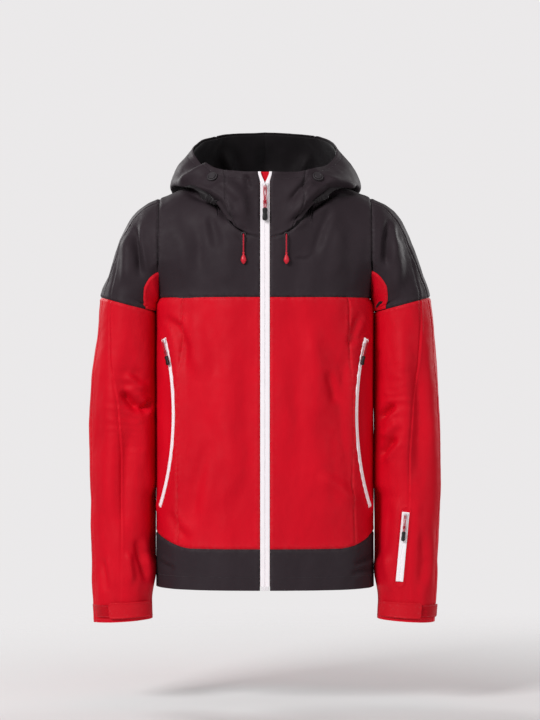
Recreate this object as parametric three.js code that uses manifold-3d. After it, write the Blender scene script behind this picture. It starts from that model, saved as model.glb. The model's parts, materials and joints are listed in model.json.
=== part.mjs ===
// A hooded ski jacket in its worn shape: shell panels, hood, zips, sleeves, cuffs and trim.
// Millimetres. +X is the wearer's left, -Y the front and +Z up. The origin is the centre of
// the neck, level with the inner ends of the shoulder seams.
import * as THREE from 'three';
import { mergeVertices } from 'three/addons/utils/BufferGeometryUtils.js';
import Module from 'manifold-3d';

const wasm = await Module();
wasm.setup();

// ---- driving dimensions ----
const SHELL = 3; // thickness of every fabric panel
const SEAM = 0.3; // clearance between two pieces that touch

const YOKE_Z = -205; // seam between the yoke and the body
const HEM_Z = -697; // lower edge of the body
const HEM_BAND = 69; // height of the hem band at the front
const HEM_RISE = 24; // how much higher the band's top edge is at the sides
const ARMHOLE_X = 181; // plane of the armholes, and half the chest's width
const HEM_HALF = 186; // half the hem's width
const CHEST_FRONT = 112; // from the neck's centre forward to the chest
const CHEST_BACK = 120; // and back to the shoulder blades
const HEM_BACK = 128; // and back to the hem
const FRONT_SLOPE = 0.036; // how far the straight centre front leans out per millimetre down
const SQUARENESS = 2.7; // exponent of the body's superellipse sections
const SIDE_SEAM = 58; // angle of the side panel's front seam, from the centre front
const BACK_SEAM = 122; // and of its back seam

const SHOULDER_Z = -32; // top of the armhole
const ARMHOLE_HALF = 82; // half the armhole's front-to-back width
const NECK_HALF = 80; // half the neck seam's width
const NECK_FRONT_Z = -104; // neck seam at the centre front
const NECK_BACK = 0.95; // how far up the back yoke's arch the neck seam is
const COLLAR_TOP = 6; // top of the collar at the centre front

const ZIP_TAPE = 8; // width of each tape of the main zip
const ZIP_THICK = 2; // thickness of a zip tape
const ZIP_BOTTOM = HEM_Z + 7; // lower end of the main zip, where its stop begins
const SLIDER_Z = -19; // main slider's centre when the zip is closed
const SLIDER = { width: 11, height: 12, thick: 3 };
const BAIL = { reach: 3, radius: 4.4, hole: 2.1, plate: 1.6 };
const LOOP = { width: 8, band: 2.2, height: 37 };
const GRIP = { width: 9, height: 22, thick: 6 };
const SMALL = 0.75; // size of the pocket and forearm sliders and pulls against the main one

const POCKET = { width: 7, lift: 5.6, top: [167, -274], middle: [151, -405], end: [175, -560] };
const POCKET_BAG = { from: 20, to: 50, top: -290, bottom: -545, thick: 2 };
const FOREARM_ZIP = { top: [57, -568], end: [46, -685], width: 12.7, lift: 0.6 }; // x from the armhole
const CUFF_TAB = { height: 27, thick: 2, from: -62, to: 24 };
const CUFF_PATCH = { height: 20, thick: 1.2, from: -66, to: 84 };
const CUFF_EDGE = 9; // from the cuff's lower edge to the tab
const DRAWCORD = { x: 36, z: -100, radius: 1.25, sides: 8 };
const CORD_END = { length: 20, radius: 4.6 };
const LOCK = { angle: 45, along: 0.8, radius: 9, bore: 6.3, base: 0.3, depth: 3.3, button: 6, proud: 1.2,
  gap: 2.1 };
const HANGER = { half: 30, rise: 24, strap: 8, thick: 2.4, foot: 7 };
const STORM_FLAP = { right: -12, left: 18, thick: 2, top: 9, behind: 1.3 };

const COLOURS = { charcoal: 0x2e272c, red: 0xce021e, white: 0xf5f0f2, lining: 0xc9ccd0,
  cord: 0xc81432, rubber: 0x0b0909, metal: 0xdfe2e6 };

// ---- numbers and interpolation ----
const lerp = THREE.MathUtils.lerp;
const rad = THREE.MathUtils.degToRad;
const V = (x, y, z) => new THREE.Vector3(x, y, z);

// Smooth step from 0 at one value to 1 at another, in either direction.
function smooth(from, to, x) {
  const t = THREE.MathUtils.clamp((x - from) / (to - from), 0, 1);
  return t * t * (3 - 2 * t);
}

// Smooth curve through equally spaced values; k counts the values.
function through(values, k) {
  const last = values.length - 1;
  const i = Math.min(Math.floor(k), last - 1);
  const t = k - i;
  const at = (n) => values[THREE.MathUtils.clamp(n, 0, last)];
  const [a, b, c, d] = [at(i - 1), at(i), at(i + 1), at(i + 2)];
  const bend = (2 * a - 5 * b + 4 * c - d) * t * t + (3 * b - a - 3 * c + d) * t * t * t;
  return 0.5 * (2 * b + (c - a) * t + bend);
}

// ---- solids ----
const model = new THREE.Group();

function bare(geometry) {
  const plain = geometry.clone();
  plain.deleteAttribute('normal');
  plain.deleteAttribute('uv');
  return mergeVertices(plain, 1e-4);
}

function add(name, geometry, colour, roughness = 0.8, metalness = 0) {
  const material = new THREE.MeshStandardMaterial({ color: COLOURS[colour], roughness, metalness });
  const mesh = new THREE.Mesh(geometry, material);
  mesh.name = name;
  model.add(mesh);
  return mesh;
}

// Where each joint is: a point, its axis and, for a slide or an arc, its travel.
model.userData.joints = {};
function setJoint(name, point, axis, travel = null) {
  model.userData.joints[name] = { point: point.toArray(), axis: axis.toArray(), travel };
}

function mirrored(geometry) {
  const copy = bare(geometry).scale(-1, 1, 1);
  const index = copy.index.array;
  for (let i = 0; i < index.length; i += 3) {
    [index[i + 1], index[i + 2]] = [index[i + 2], index[i + 1]];
  }
  return copy;
}

// Adds a piece of the wearer's left side and its mirror image.
function addPair(name, geometry, ...look) {
  add(`${name}_left`, geometry, ...look);
  add(`${name}_right`, mirrored(geometry), ...look);
}

function toManifold(geometry) {
  const plain = bare(geometry);
  const mesh = new wasm.Mesh({ numProp: 3, vertProperties: new Float32Array(plain.attributes.position.array),
    triVerts: new Uint32Array(plain.index.array) });
  return new wasm.Manifold(mesh);
}

function fromManifold(solid) {
  const mesh = solid.getMesh();
  const geometry = new THREE.BufferGeometry();
  geometry.setAttribute('position', new THREE.BufferAttribute(mesh.vertProperties, 3));
  geometry.setIndex(new THREE.BufferAttribute(mesh.triVerts, 1));
  return geometry;
}

const joined = (a, b) => fromManifold(toManifold(a).add(toManifold(b)));

// Evenly spaced values from one number to another.
const divide = (from, to, steps) => Array.from({ length: steps + 1 }, (_, i) => lerp(from, to, i / steps));
const ends = (values) => [values[0], values[values.length - 1]];

// Unit normal of a surface at (u, v), from differences inside the given ranges.
function normalAt(surface, u, v, uRange, vRange) {
  const step = (range) => (range[1] - range[0]) * 0.004;
  const clampTo = (x, range) => THREE.MathUtils.clamp(x, Math.min(...range), Math.max(...range));
  const [du, dv] = [step(uRange), step(vRange)];
  const across = surface(clampTo(u + du, uRange), v).sub(surface(clampTo(u - du, uRange), v));
  const up = surface(u, clampTo(v + dv, vRange)).sub(surface(u, clampTo(v - dv, vRange)));
  return across.cross(up).normalize();
}

// A closed panel: the surface over the grid us x vs, raised by lift, and a second skin one
// thickness further in. Its outside is where across x up points. level(v) is the share of the
// thickness direction's height that is taken away, so that level seams meet face to face.
function panel(surface, us, vs, { thickness = SHELL, lift = 0, level = () => 0 } = {}) {
  const outerSkin = [];
  const innerSkin = [];
  us.forEach((u) => vs.forEach((v) => {
    const normal = normalAt(surface, u, v, ends(us), ends(vs));
    normal.z *= 1 - level(v);
    normal.normalize();
    outerSkin.push(surface(u, v).addScaledVector(normal, lift));
    innerSkin.push(surface(u, v).addScaledVector(normal, lift - thickness));
  }));
  const [columns, row] = [us.length - 1, vs.length];
  const skin = us.length * row;
  const index = [];
  const quad = (a, b, c, d) => index.push(a, b, c, a, c, d);
  for (let i = 0; i < columns; i += 1) {
    for (let j = 0; j < row - 1; j += 1) {
      const a = i * row + j;
      quad(a, a + row, a + row + 1, a + 1);
      quad(skin + a, skin + a + 1, skin + a + row + 1, skin + a + row);
    }
    const low = i * row;
    const high = low + row - 1;
    quad(low, skin + low, skin + low + row, low + row);
    quad(high, high + row, skin + high + row, skin + high);
  }
  for (let j = 0; j < row - 1; j += 1) {
    const far = columns * row + j;
    quad(j, j + 1, skin + j + 1, skin + j);
    quad(far, skin + far, skin + far + 1, far + 1);
  }
  const positions = [...outerSkin, ...innerSkin].flatMap((point) => [point.x, point.y, point.z]);
  const geometry = new THREE.BufferGeometry();
  geometry.setAttribute('position', new THREE.Float32BufferAttribute(positions, 3));
  geometry.setIndex(index);
  return geometry;
}

// ---- body ----
const frontDepth = (z) => CHEST_FRONT + FRONT_SLOPE * (YOKE_Z - z);
const backDepth = (z) => CHEST_BACK + (HEM_BACK - CHEST_BACK) * smooth(YOKE_Z - 150, HEM_Z, z);
const halfWidth = (z) => ARMHOLE_X + (HEM_HALF - ARMHOLE_X) * smooth(YOKE_Z - 150, HEM_Z, z);

// Body surface at an angle in degrees from the centre front towards +X.
function bodyAt(angle, z) {
  const [sin, cos] = [Math.sin(rad(angle)), Math.cos(rad(angle))];
  const depth = cos > 0 ? frontDepth(z) : backDepth(z);
  const across = Math.abs(sin / halfWidth(z)) ** SQUARENESS;
  const along = Math.abs(cos / depth) ** SQUARENESS;
  const radius = (across + along) ** (-1 / SQUARENESS);
  return V(radius * sin, -radius * cos, z);
}

const depthAt = (x, z, depth) => depth * Math.max(0, 1 - (Math.abs(x) / halfWidth(z)) ** SQUARENESS)
  ** (1 / SQUARENESS);
const zipEdge = (z) => THREE.MathUtils.radToDeg(Math.atan2(ZIP_TAPE + SEAM, frontDepth(z)));
const FIRST = zipEdge(HEM_Z); // angle of the front panel's edge at the hem

// The front panel's edge keeps to the zip at every height.
const besideZip = (angle, z) => (angle < SIDE_SEAM
  ? lerp(zipEdge(z), SIDE_SEAM, (angle - FIRST) / (SIDE_SEAM - FIRST)) : angle);

// Top edge of the hem band: level at the front and higher at the side seams.
const fromSide = (angle) => Math.abs(90 - (angle > 180 ? 360 - angle : angle));
const bandTop = (angle) => HEM_Z + HEM_BAND + HEM_RISE * smooth(42, 6, fromSide(angle));

const TURN = 0.07; // half a seam's clearance, in degrees round the body
const FRONT_ANGLES = divide(FIRST, SIDE_SEAM - TURN, 7);
const SIDE_ANGLES = divide(SIDE_SEAM + TURN, BACK_SEAM - TURN, 8);
const BACK_ANGLES = divide(BACK_SEAM + TURN, 360 - BACK_SEAM - TURN, 12);
const LOW_SIDE = SIDE_ANGLES.filter((angle) => angle < 89);
const flat = { level: () => 1 };

// Part of the body over some angles, between two heights that can follow the angle.
function bodyPanel(angles, bottom, top, vSteps) {
  const surface = (angle, g) => {
    const z = lerp(bottom(angle), top(angle), g);
    return bodyAt(besideZip(angle, z), z);
  };
  return panel(surface, angles, divide(0, 1, vSteps), flat);
}

function makeBody() {
  const hem = () => HEM_Z;
  const bandAbove = (angle) => bandTop(angle) + SEAM;
  const yokeEdge = () => YOKE_Z - SEAM;
  const opposite = LOW_SIDE.map((angle) => 180 - angle).reverse();
  addPair('front_panel', bodyPanel(FRONT_ANGLES, bandAbove, yokeEdge, 9), 'red');
  addPair('side_panel', bodyPanel(SIDE_ANGLES, bandAbove, yokeEdge, 8), 'red');
  add('back_panel', bodyPanel(BACK_ANGLES, bandAbove, yokeEdge, 7), 'red');
  addPair('hem_band_front', bodyPanel([...FRONT_ANGLES, ...LOW_SIDE, 90 - TURN], hem, bandTop, 2), 'charcoal');
  const back = [90 + TURN, ...opposite, ...BACK_ANGLES];
  const farSide = [...opposite, 90 + TURN].map((angle) => 360 - angle).sort((a, b) => a - b);
  add('hem_band_back', bodyPanel([...back, ...farSide], hem, bandTop, 2), 'charcoal');
}

// ---- yoke ----
const ARMHOLE_MID = 0.47; // height of the armhole's widest place, as a share of its height
const ridge = (x) => SHOULDER_Z * (Math.max(0, Math.abs(x) - 60) / (ARMHOLE_X - 60)) ** 1.3;

// Front-to-back reach of the yoke at x and at a share s of its height. It follows the body at
// s = 0, the oval of the armhole at x = ARMHOLE_X, and closes on the shoulder seam at s = 1.
// The front stays straight down the middle, and rounds over more towards the shoulders.
function yokeReach(x, s, isFront) {
  const depth = isFront ? CHEST_FRONT : CHEST_BACK;
  const slope = isFront ? FRONT_SLOPE * (ridge(x) - YOKE_Z) * s : 0;
  const closing = isFront ? lerp(6, 3, smooth(20, NECK_HALF, Math.abs(x))) : 3;
  const arch = (depth - slope) * Math.max(0, 1 - s ** closing) ** (1 / closing);
  const oval = ARMHOLE_HALF * Math.sqrt(Math.max(0, 1 - ((s - ARMHOLE_MID) / (1 - ARMHOLE_MID)) ** 2));
  const upper = lerp(arch, oval, (Math.abs(x) / ARMHOLE_X) ** 3.2);
  return lerp(depthAt(x, YOKE_Z, depth), upper, Math.min(1, s / 0.35) ** 0.6);
}

const neckAngle = (x) => Math.asin(Math.min(1, Math.abs(x) / NECK_HALF)) / (Math.PI / 2);
const neckFrontZ = (x) => lerp(NECK_FRONT_Z, ridge(NECK_HALF), neckAngle(x) ** 2.2);
const FULL = 0.9999; // share of the height at the shoulder seam
const heightShare = (x, z) => (z - YOKE_Z) / (ridge(x) - YOKE_Z);
const frontTop = (x) => (Math.abs(x) < NECK_HALF ? Math.min(FULL, heightShare(x, neckFrontZ(x))) : FULL);
const backTop = (x) => (Math.abs(x) < NECK_HALF ? lerp(NECK_BACK, FULL, (x / NECK_HALF) ** 2) : FULL);

// Yoke surface, v from the body seam up to the neck or shoulder seam.
function yokeAt(x, v, top, isFront) {
  const s = top(x) * Math.sin((v * Math.PI) / 2) ** 0.9;
  const reach = Math.max(SEAM, yokeReach(x, s, isFront));
  return V(x, isFront ? -reach : reach, lerp(YOKE_Z, ridge(x), s));
}

const frontYokeAt = (x, v) => yokeAt(x, v, frontTop, true);
const backYokeAt = (x, v) => yokeAt(x, v, backTop, false);
const fromSeam = { level: (v) => smooth(0.25, 0, v) };

function makeYoke() {
  addPair('front_yoke', panel(frontYokeAt, divide(ZIP_TAPE + SEAM, ARMHOLE_X, 12), divide(0, 1, 9), fromSeam),
    'charcoal');
  const acrossBack = (u, v) => backYokeAt(-u, v);
  add('back_yoke', panel(acrossBack, divide(-ARMHOLE_X, ARMHOLE_X, 22), divide(0, 1, 9), fromSeam), 'charcoal');
}

// ---- hood and collar ----
// Rings round the neck, every 30 degrees from the centre front to the centre back.
const HOOD_REST = [[0, -110, -82], [50, -110, -72], [100, -88, -27], [122, 4, 2], [100, 80, -2],
  [56, 122, -22], [0, 130, -26]];
const HOOD_FOLD = [[0, -109, -55], [56, -109, -46], [122, -76, -22], [160, 6, -12], [146, 100, -36],
  [84, 160, -74], [0, 180, -92]];
const HOOD_SIDE = [[0, -107, -28], [57, -104, -20], [118, -66, 6], [150, 16, 20], [138, 104, 18],
  [84, 176, 6], [0, 200, 0]];
const HOOD_RIM = [[0, 0, COLLAR_TOP], [62, -84, 8], [108, -38, 26], [123, 26, 52], [104, 92, 78],
  [60, 138, 90], [0, 152, 94]];
const NECK_LIFT = 7; // the hood's foot clears the yoke by this much

function neckAt(angle) {
  const x = Math.min(NECK_HALF * Math.sin(rad(angle)), NECK_HALF - 0.01);
  return angle < 90 ? frontYokeAt(x, 1) : backYokeAt(x, 1);
}

const ringAt = (ring, angle) => V(...[0, 1, 2].map((axis) => through(ring.map((p) => p[axis]), angle / 30)));

// Hood surface at an angle from the centre front, with s = 0 at the neck seam and 1 at the rim.
function hoodAt(angle, s) {
  const around = angle > 180 ? 360 - angle : angle;
  const rim = ringAt(HOOD_RIM, around);
  rim.y = lerp(-frontDepth(rim.z), rim.y, smooth(0, 30, around));
  const neck = neckAt(around);
  neck.z += SEAM + NECK_LIFT * smooth(15, 60, around);
  const points = [neck, ringAt(HOOD_REST, around), ringAt(HOOD_FOLD, around), ringAt(HOOD_SIDE, around), rim];
  const point = V(...['x', 'y', 'z'].map((axis) => through(points.map((p) => p[axis]), s * 4)));
  point.y = lerp(point.y, -frontDepth(point.z), 1 - smooth(9, 36, around));
  if (angle > 180) point.x *= -1;
  return point;
}

const COLLAR_SEAM = 34; // angle of the seam between the collar and the hood's side
const HOOD_SEAM = 132; // angle of the seam between the hood's side and its back
const HALF_SEAM = 0.3; // half a seam's clearance, in degrees round the neck
const HOOD_SIDE_ANGLES = divide(COLLAR_SEAM + HALF_SEAM, HOOD_SEAM - HALF_SEAM, 10);
const HOOD_BACK_ANGLES = divide(HOOD_SEAM + HALF_SEAM, 360 - HOOD_SEAM - HALF_SEAM, 12);
const HOOD_RISE = divide(0, 1, 12);
const LINING_START = 62; // the lining's first angle

// The collar starts at the zip tape, at every height.
function collarAt(angle, s) {
  let [low, high] = [0, COLLAR_SEAM];
  for (let i = 0; i < 24; i += 1) {
    const middle = (low + high) / 2;
    if (hoodAt(middle, s).x < ZIP_TAPE + SEAM) low = middle;
    else high = middle;
  }
  return hoodAt(lerp(low, COLLAR_SEAM, angle / COLLAR_SEAM), s);
}

function makeHood() {
  addPair('collar', panel(collarAt, divide(0, COLLAR_SEAM - HALF_SEAM, 5), HOOD_RISE), 'charcoal');
  addPair('hood_side', panel(hoodAt, HOOD_SIDE_ANGLES, HOOD_RISE), 'charcoal');
  add('hood_back', panel(hoodAt, HOOD_BACK_ANGLES, HOOD_RISE), 'charcoal');
  const side = HOOD_SIDE_ANGLES.filter((angle) => angle > LINING_START);
  const otherSide = side.map((angle) => 360 - angle).reverse();
  const lining = { thickness: 1.6, lift: -SHELL - 2 * SEAM };
  add('hood_lining', panel(hoodAt, [...side, ...HOOD_BACK_ANGLES, ...otherSide], HOOD_RISE.slice(8), lining),
    'lining');
}

// ---- sleeves ----
// Stations down the sleeve: its inner edge's way out and down from the bottom of the armhole,
// its outer edge's from the top of the armhole, its half depth and its centre's y.
const SHOULDER_END = 6; // station where the charcoal shoulder ends
const ELBOW = 8; // station of the elbow
const INNER_WAY = [[0, 0], [3, -6], [6, -12], [8, -16], [9, -19], [10, -21], [11, -24], [11, -105], [11, -190],
  [13, -295], [14, -395], [14, -475], [11, -545]];
const OUTER_WAY = [[0, 0], [24, -10], [45, -30], [62, -60], [76, -96], [89, -132], [102, -172], [112, -268],
  [118, -363], [120, -468], [118, -568], [115, -648], [109, -724]];
const ARM_INNER = INNER_WAY.map(([x, z]) => [ARMHOLE_X + x, YOKE_Z + z]);
const ARM_OUTER = OUTER_WAY.map(([x, z]) => [ARMHOLE_X + x, SHOULDER_Z + z]);
const ARM_DEPTH = [ARMHOLE_HALF, 80, 78, 76, 74, 72, 71, 67, 64, 62, 59, 56, 54];
const ARM_Y = [0, 0, 0, 0, 0, 0, 0, -3, -8, -16, -26, -33, -38];
const CUFF_STATION = ARM_DEPTH.length - 1;
const ELBOW_AXIS = 64; // how far outside the armhole the elbow's turning point is

// Sleeve surface at an angle from its front towards its outer edge, k stations down.
function sleeveAt(angle, k) {
  const [inX, inZ, outX, outZ] = [[ARM_INNER, 0], [ARM_INNER, 1], [ARM_OUTER, 0], [ARM_OUTER, 1]]
    .map(([edge, axis]) => through(edge.map((p) => p[axis]), k));
  const across = (1 + Math.sin(rad(angle))) / 2;
  const cos = Math.cos(rad(angle));
  const oval = through(ARM_DEPTH, k) * Math.sign(cos) * Math.abs(cos) ** 0.9;
  const armhole = Math.sign(cos) * yokeReach(ARMHOLE_X, across, true);
  const depth = lerp(armhole, oval, smooth(0, 1.6, k));
  return V(lerp(inX, outX, across), through(ARM_Y, k) - depth, lerp(inZ, outZ, across));
}

const stationsDown = (from, to, steps, gap = 0) => divide(to - gap, from + gap, steps);

const ROOT = 0.05; // the shoulder starts this many stations past the armhole

function makeSleeves() {
  const round = divide(-90 + HALF_SEAM, 270 - HALF_SEAM, 16);
  addPair('shoulder', panel(sleeveAt, round, stationsDown(ROOT, SHOULDER_END - 0.01, 6)), 'charcoal');
  addPair('upper_arm', panel(sleeveAt, round, stationsDown(SHOULDER_END, ELBOW, 3, 0.004), flat), 'red');
  [['front', -90], ['back', 90]].forEach(([side, from]) => {
    const angles = divide(from + HALF_SEAM, from + 180 - HALF_SEAM, 8);
    addPair(`forearm_${side}`, panel(sleeveAt, angles, stationsDown(ELBOW, CUFF_STATION, 6, 0.004), flat), 'red');
  });
}

// Stations of the cuff at a height above its lower edge.
const cuffStation = (height) => CUFF_STATION - height
  / (ARM_INNER[CUFF_STATION - 1][1] - ARM_INNER[CUFF_STATION][1]);

function makeCuffs() {
  const { height, thick, from, to } = CUFF_TAB;
  const middle = CUFF_EDGE + height / 2;
  const band = (tall) => divide(cuffStation(middle - tall / 2), cuffStation(middle + tall / 2), 1);
  const patchLift = SEAM + CUFF_PATCH.thick;
  const patchAngles = divide(CUFF_PATCH.from, CUFF_PATCH.to, 12);
  addPair('cuff_patch', panel(sleeveAt, patchAngles, band(CUFF_PATCH.height),
    { thickness: CUFF_PATCH.thick, lift: patchLift + SEAM }), 'charcoal');
  const tabLift = patchLift + 3 * SEAM + thick;
  const tab = panel(sleeveAt, divide(from, to, 8), band(height), { thickness: thick, lift: tabLift });
  addPair('cuff_tab', tab, 'rubber');
  const up = sleeveAt(from, cuffStation(middle + height / 2)).sub(sleeveAt(from, cuffStation(middle - height / 2)));
  const range = ends(divide(from, to, 1));
  const station = cuffStation(middle);
  const normal = normalAt(sleeveAt, from, station, range, [station + 0.2, station - 0.2]);
  setJoint('cuff_tab', sleeveAt(from, station).addScaledVector(normal, tabLift), up.normalize().negate());
}

// ---- zips and pulls ----
// A frame on a surface: Z runs up the zip, -Y points out of the garment.
function zipFrame(origin, up, outward) {
  const z = up.clone().normalize();
  const y = outward.clone().negate();
  y.addScaledVector(z, -y.dot(z)).normalize();
  return new THREE.Matrix4().makeBasis(y.clone().cross(z), y, z).setPosition(origin);
}

const placed = (geometry, frame) => geometry.clone().applyMatrix4(frame);

// A flat outline in X and Z, extruded from one depth to another along Y.
function plate(shape, fromY, toY, bevel = 0) {
  const options = { depth: toY - fromY - 2 * bevel, bevelEnabled: bevel > 0, bevelSize: bevel,
    bevelThickness: bevel, bevelOffset: -bevel, bevelSegments: 2, curveSegments: 6 };
  return bare(new THREE.ExtrudeGeometry(shape, options)).rotateX(Math.PI / 2).translate(0, toY - bevel, 0);
}

function roundedOutline(width, low, high, radius) {
  const half = width / 2;
  const shape = new THREE.Shape();
  shape.moveTo(-half + radius, low).lineTo(half - radius, low);
  shape.absarc(half - radius, low + radius, radius, -Math.PI / 2, 0, false);
  shape.absarc(half - radius, high - radius, radius, 0, Math.PI / 2, false);
  shape.absarc(-half + radius, high - radius, radius, Math.PI / 2, Math.PI, false);
  shape.absarc(-half + radius, low + radius, radius, Math.PI, 1.5 * Math.PI, false);
  return shape;
}

const pulledOut = (scale) => -(SEAM + (SLIDER.thick + BAIL.reach) * scale);

// Slider body with an upright bail plate, whose hole takes the pull's loop. The tape's
// outer face is at y = 0.
function sliderSolid(scale) {
  const half = (SLIDER.width / 2) * scale;
  const tall = (SLIDER.height / 2) * scale;
  const front = -SEAM - SLIDER.thick * scale;
  const outline = new THREE.Shape();
  outline.moveTo(-half, tall).lineTo(-half * 0.62, -tall).lineTo(half * 0.62, -tall).lineTo(half, tall);
  const body = plate(outline, front, -SEAM, 0.5);
  const [reach, radius, sunk] = [BAIL.reach * scale, BAIL.radius * scale, 0.6];
  const bail = new THREE.Shape();
  bail.moveTo(-sunk, -radius).lineTo(reach, -radius).absarc(reach, 0, radius, -Math.PI / 2, Math.PI / 2, false);
  bail.lineTo(-sunk, radius);
  bail.holes.push(new THREE.Path().absarc(reach, 0, BAIL.hole * scale, 0, 2 * Math.PI, true));
  const depth = BAIL.plate * scale;
  const upright = bare(new THREE.ExtrudeGeometry(bail, { depth, bevelEnabled: false, curveSegments: 6 }));
  const turn = new THREE.Matrix4().makeBasis(V(0, -1, 0), V(0, 0, 1), V(-1, 0, 0));
  upright.applyMatrix4(turn.setPosition(depth / 2, front, 0));
  return joined(body, upright);
}

// Loop of the pull, hanging from the bail's hole, and the moulded grip on its end.
function pullLoop(scale) {
  const [width, band, height] = [LOOP.width, LOOP.band, LOOP.height].map((size) => size * scale);
  const [low, high] = [band / 2 - height, band / 2];
  const outline = roundedOutline(width, low, high, width * 0.45);
  const hole = roundedOutline(width - 2 * band, low + band, high - band, (width - 2 * band) * 0.45);
  outline.holes.push(new THREE.Path(hole.getPoints(3).reverse()));
  const middle = pulledOut(scale);
  return plate(outline, middle - band / 2, middle + band / 2);
}

function pullGrip(scale) {
  const high = (LOOP.band / 2 - LOOP.height) * scale - SEAM;
  const [width, height, thick] = [GRIP.width, GRIP.height, GRIP.thick].map((size) => size * scale);
  const middle = pulledOut(scale);
  return plate(roundedOutline(width, high - height, high, width * 0.4), middle - thick / 2, middle + thick / 2, 1);
}

// Slider, pull loop and grip of one zip, with the joint of the pull on the slider.
function addSlider(name, frame, scale, put = add) {
  put(`${name}_slider`, placed(sliderSolid(scale), frame), 'metal', 0.35, 0.6);
  put(`${name}_pull_cord`, placed(pullLoop(scale), frame), 'cord');
  put(`${name}_pull_grip`, placed(pullGrip(scale), frame), 'rubber', 0.6);
  const hinge = V(0, pulledOut(scale), 0).applyMatrix4(frame);
  setJoint(`${name}_pull`, hinge, V(-1, 0, 0).transformDirection(frame));
}

const frontFrame = zipFrame(V(0, -frontDepth(0), 0), V(0, FRONT_SLOPE, 1), V(0, -1, 0));

const rectangle = (left, right, low, high) => new THREE.Shape([[left, low], [right, low], [right, high],
  [left, high]].map(([x, z]) => new THREE.Vector2(x, z)));

function makeMainZip() {
  const lean = Math.hypot(1, FRONT_SLOPE);
  const low = ZIP_BOTTOM * lean;
  const tape = plate(rectangle(SEAM / 2, ZIP_TAPE, low + SEAM, COLLAR_TOP * lean), 0, ZIP_THICK);
  addPair('main_zip_tape', placed(tape, frontFrame), 'white');
  const stop = plate(rectangle(-ZIP_TAPE * 0.8, ZIP_TAPE * 0.8, HEM_Z * lean, low), -1, ZIP_THICK, 0.4);
  add('main_zip_stop', placed(stop, frontFrame), 'white');
  const { right, left, thick, top } = STORM_FLAP;
  const behind = SHELL + STORM_FLAP.behind;
  const flap = plate(rectangle(right, left, low, top), behind, behind + thick);
  add('storm_flap', placed(flap, frontFrame), 'red');
  const up = V(0, FRONT_SLOPE, 1).normalize();
  const frame = frontFrame.clone().setPosition(V(0, 0, SLIDER_Z * lean).applyMatrix4(frontFrame));
  addSlider('main_zip', frame, 1);
  setJoint('main_zip_slide', V(0, 0, 0), up.negate(), (SLIDER_Z - ZIP_BOTTOM - SLIDER.height) * lean);
}

// Pocket zip: an arc of the circle through three points of the front, clear of the panel.
function makePocketZips() {
  const onFront = ([x, z]) => V(x, -depthAt(x, z, frontDepth(z)), z);
  const [top, middle, end] = [POCKET.top, POCKET.middle, POCKET.end].map(onFront);
  const chord = top.clone().sub(end);
  const outward = chord.clone().cross(middle.clone().sub(end)).normalize();
  if (outward.y > 0) outward.negate();
  const half = chord.length() / 2;
  const centreOfChord = top.clone().add(end).multiplyScalar(0.5);
  const sagitta = middle.clone().sub(centreOfChord);
  sagitta.addScaledVector(chord, -sagitta.dot(chord) / chord.lengthSq());
  const rise = sagitta.length();
  const radius = (half * half + rise * rise) / (2 * rise);
  const centre = centreOfChord.addScaledVector(sagitta.normalize(), rise - radius);
  const spread = Math.asin(half / radius);
  const frame = zipFrame(centre, chord, outward).multiply(new THREE.Matrix4().makeTranslation(0, -POCKET.lift, 0));
  const arc = new THREE.Shape();
  arc.absarc(0, 0, radius + POCKET.width / 2, Math.PI - spread, Math.PI + spread, false);
  arc.absarc(0, 0, radius - POCKET.width / 2, Math.PI + spread, Math.PI - spread, true);
  const tape = bare(new THREE.ExtrudeGeometry(arc, { depth: ZIP_THICK, bevelEnabled: false, curveSegments: 14 }));
  tape.rotateX(Math.PI / 2).translate(0, ZIP_THICK, 0);
  addPair('pocket_zip_tape', placed(tape, frame), 'white');
  const inset = (SLIDER.height * SMALL * 0.6) / radius;
  const turned = new THREE.Matrix4().makeRotationY(spread - inset);
  const start = frame.clone().multiply(turned).multiply(new THREE.Matrix4().makeTranslation(-radius, 0, 0));
  addSlider('pocket_zip', start, SMALL, addPair);
  setJoint('pocket_zip_slide', centre, outward, 2 * (spread - inset));
  const { from, to, top: high, bottom, thick } = POCKET_BAG;
  const bag = panel(bodyAt, divide(from, to, 5), divide(bottom, high, 5),
    { thickness: thick, lift: -SHELL - 2 * SEAM, level: () => 1 });
  addPair('pocket_bag', bag, 'lining');
}

// Point of the sleeve's front at an x and a height.
function onForearm([x, z]) {
  let [high, low] = [ELBOW, CUFF_STATION];
  const at = (k) => {
    const [inner, outer] = [ARM_INNER, ARM_OUTER].map((edge) => through(edge.map((p) => p[0]), k));
    const across = THREE.MathUtils.clamp((2 * (x - inner)) / (outer - inner) - 1, -1, 1);
    return sleeveAt(THREE.MathUtils.radToDeg(Math.asin(across)), k);
  };
  for (let i = 0; i < 30; i += 1) {
    const middle = (high + low) / 2;
    if (at(middle).z > z) high = middle;
    else low = middle;
  }
  return at(high);
}

function makeForearmZip() {
  const [top, end] = [FOREARM_ZIP.top, FOREARM_ZIP.end].map(([x, z]) => onForearm([ARMHOLE_X + x, z]));
  const up = top.clone().sub(end);
  const frame = zipFrame(top, up, V(-0.12, -1, 0));
  const lifted = new THREE.Matrix4().makeTranslation(0, -FOREARM_ZIP.lift - ZIP_THICK, 0);
  const half = FOREARM_ZIP.width / 2;
  const face = frame.clone().multiply(lifted);
  add('forearm_zip_tape', placed(plate(rectangle(-half, half, -up.length(), 0), 0, ZIP_THICK), face), 'white');
  const inset = SLIDER.height * SMALL * 0.6;
  const start = face.clone().multiply(new THREE.Matrix4().makeTranslation(0, 0, -inset));
  addSlider('forearm_zip', start, SMALL);
  setJoint('forearm_zip_slide', top, up.clone().normalize().negate(), up.length() - 2 * inset);
}

// ---- hood trim ----
const turned = (profile, segments) => bare(new THREE.LatheGeometry(profile.map(([r, y]) =>
  new THREE.Vector2(r, y)), segments));

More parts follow.
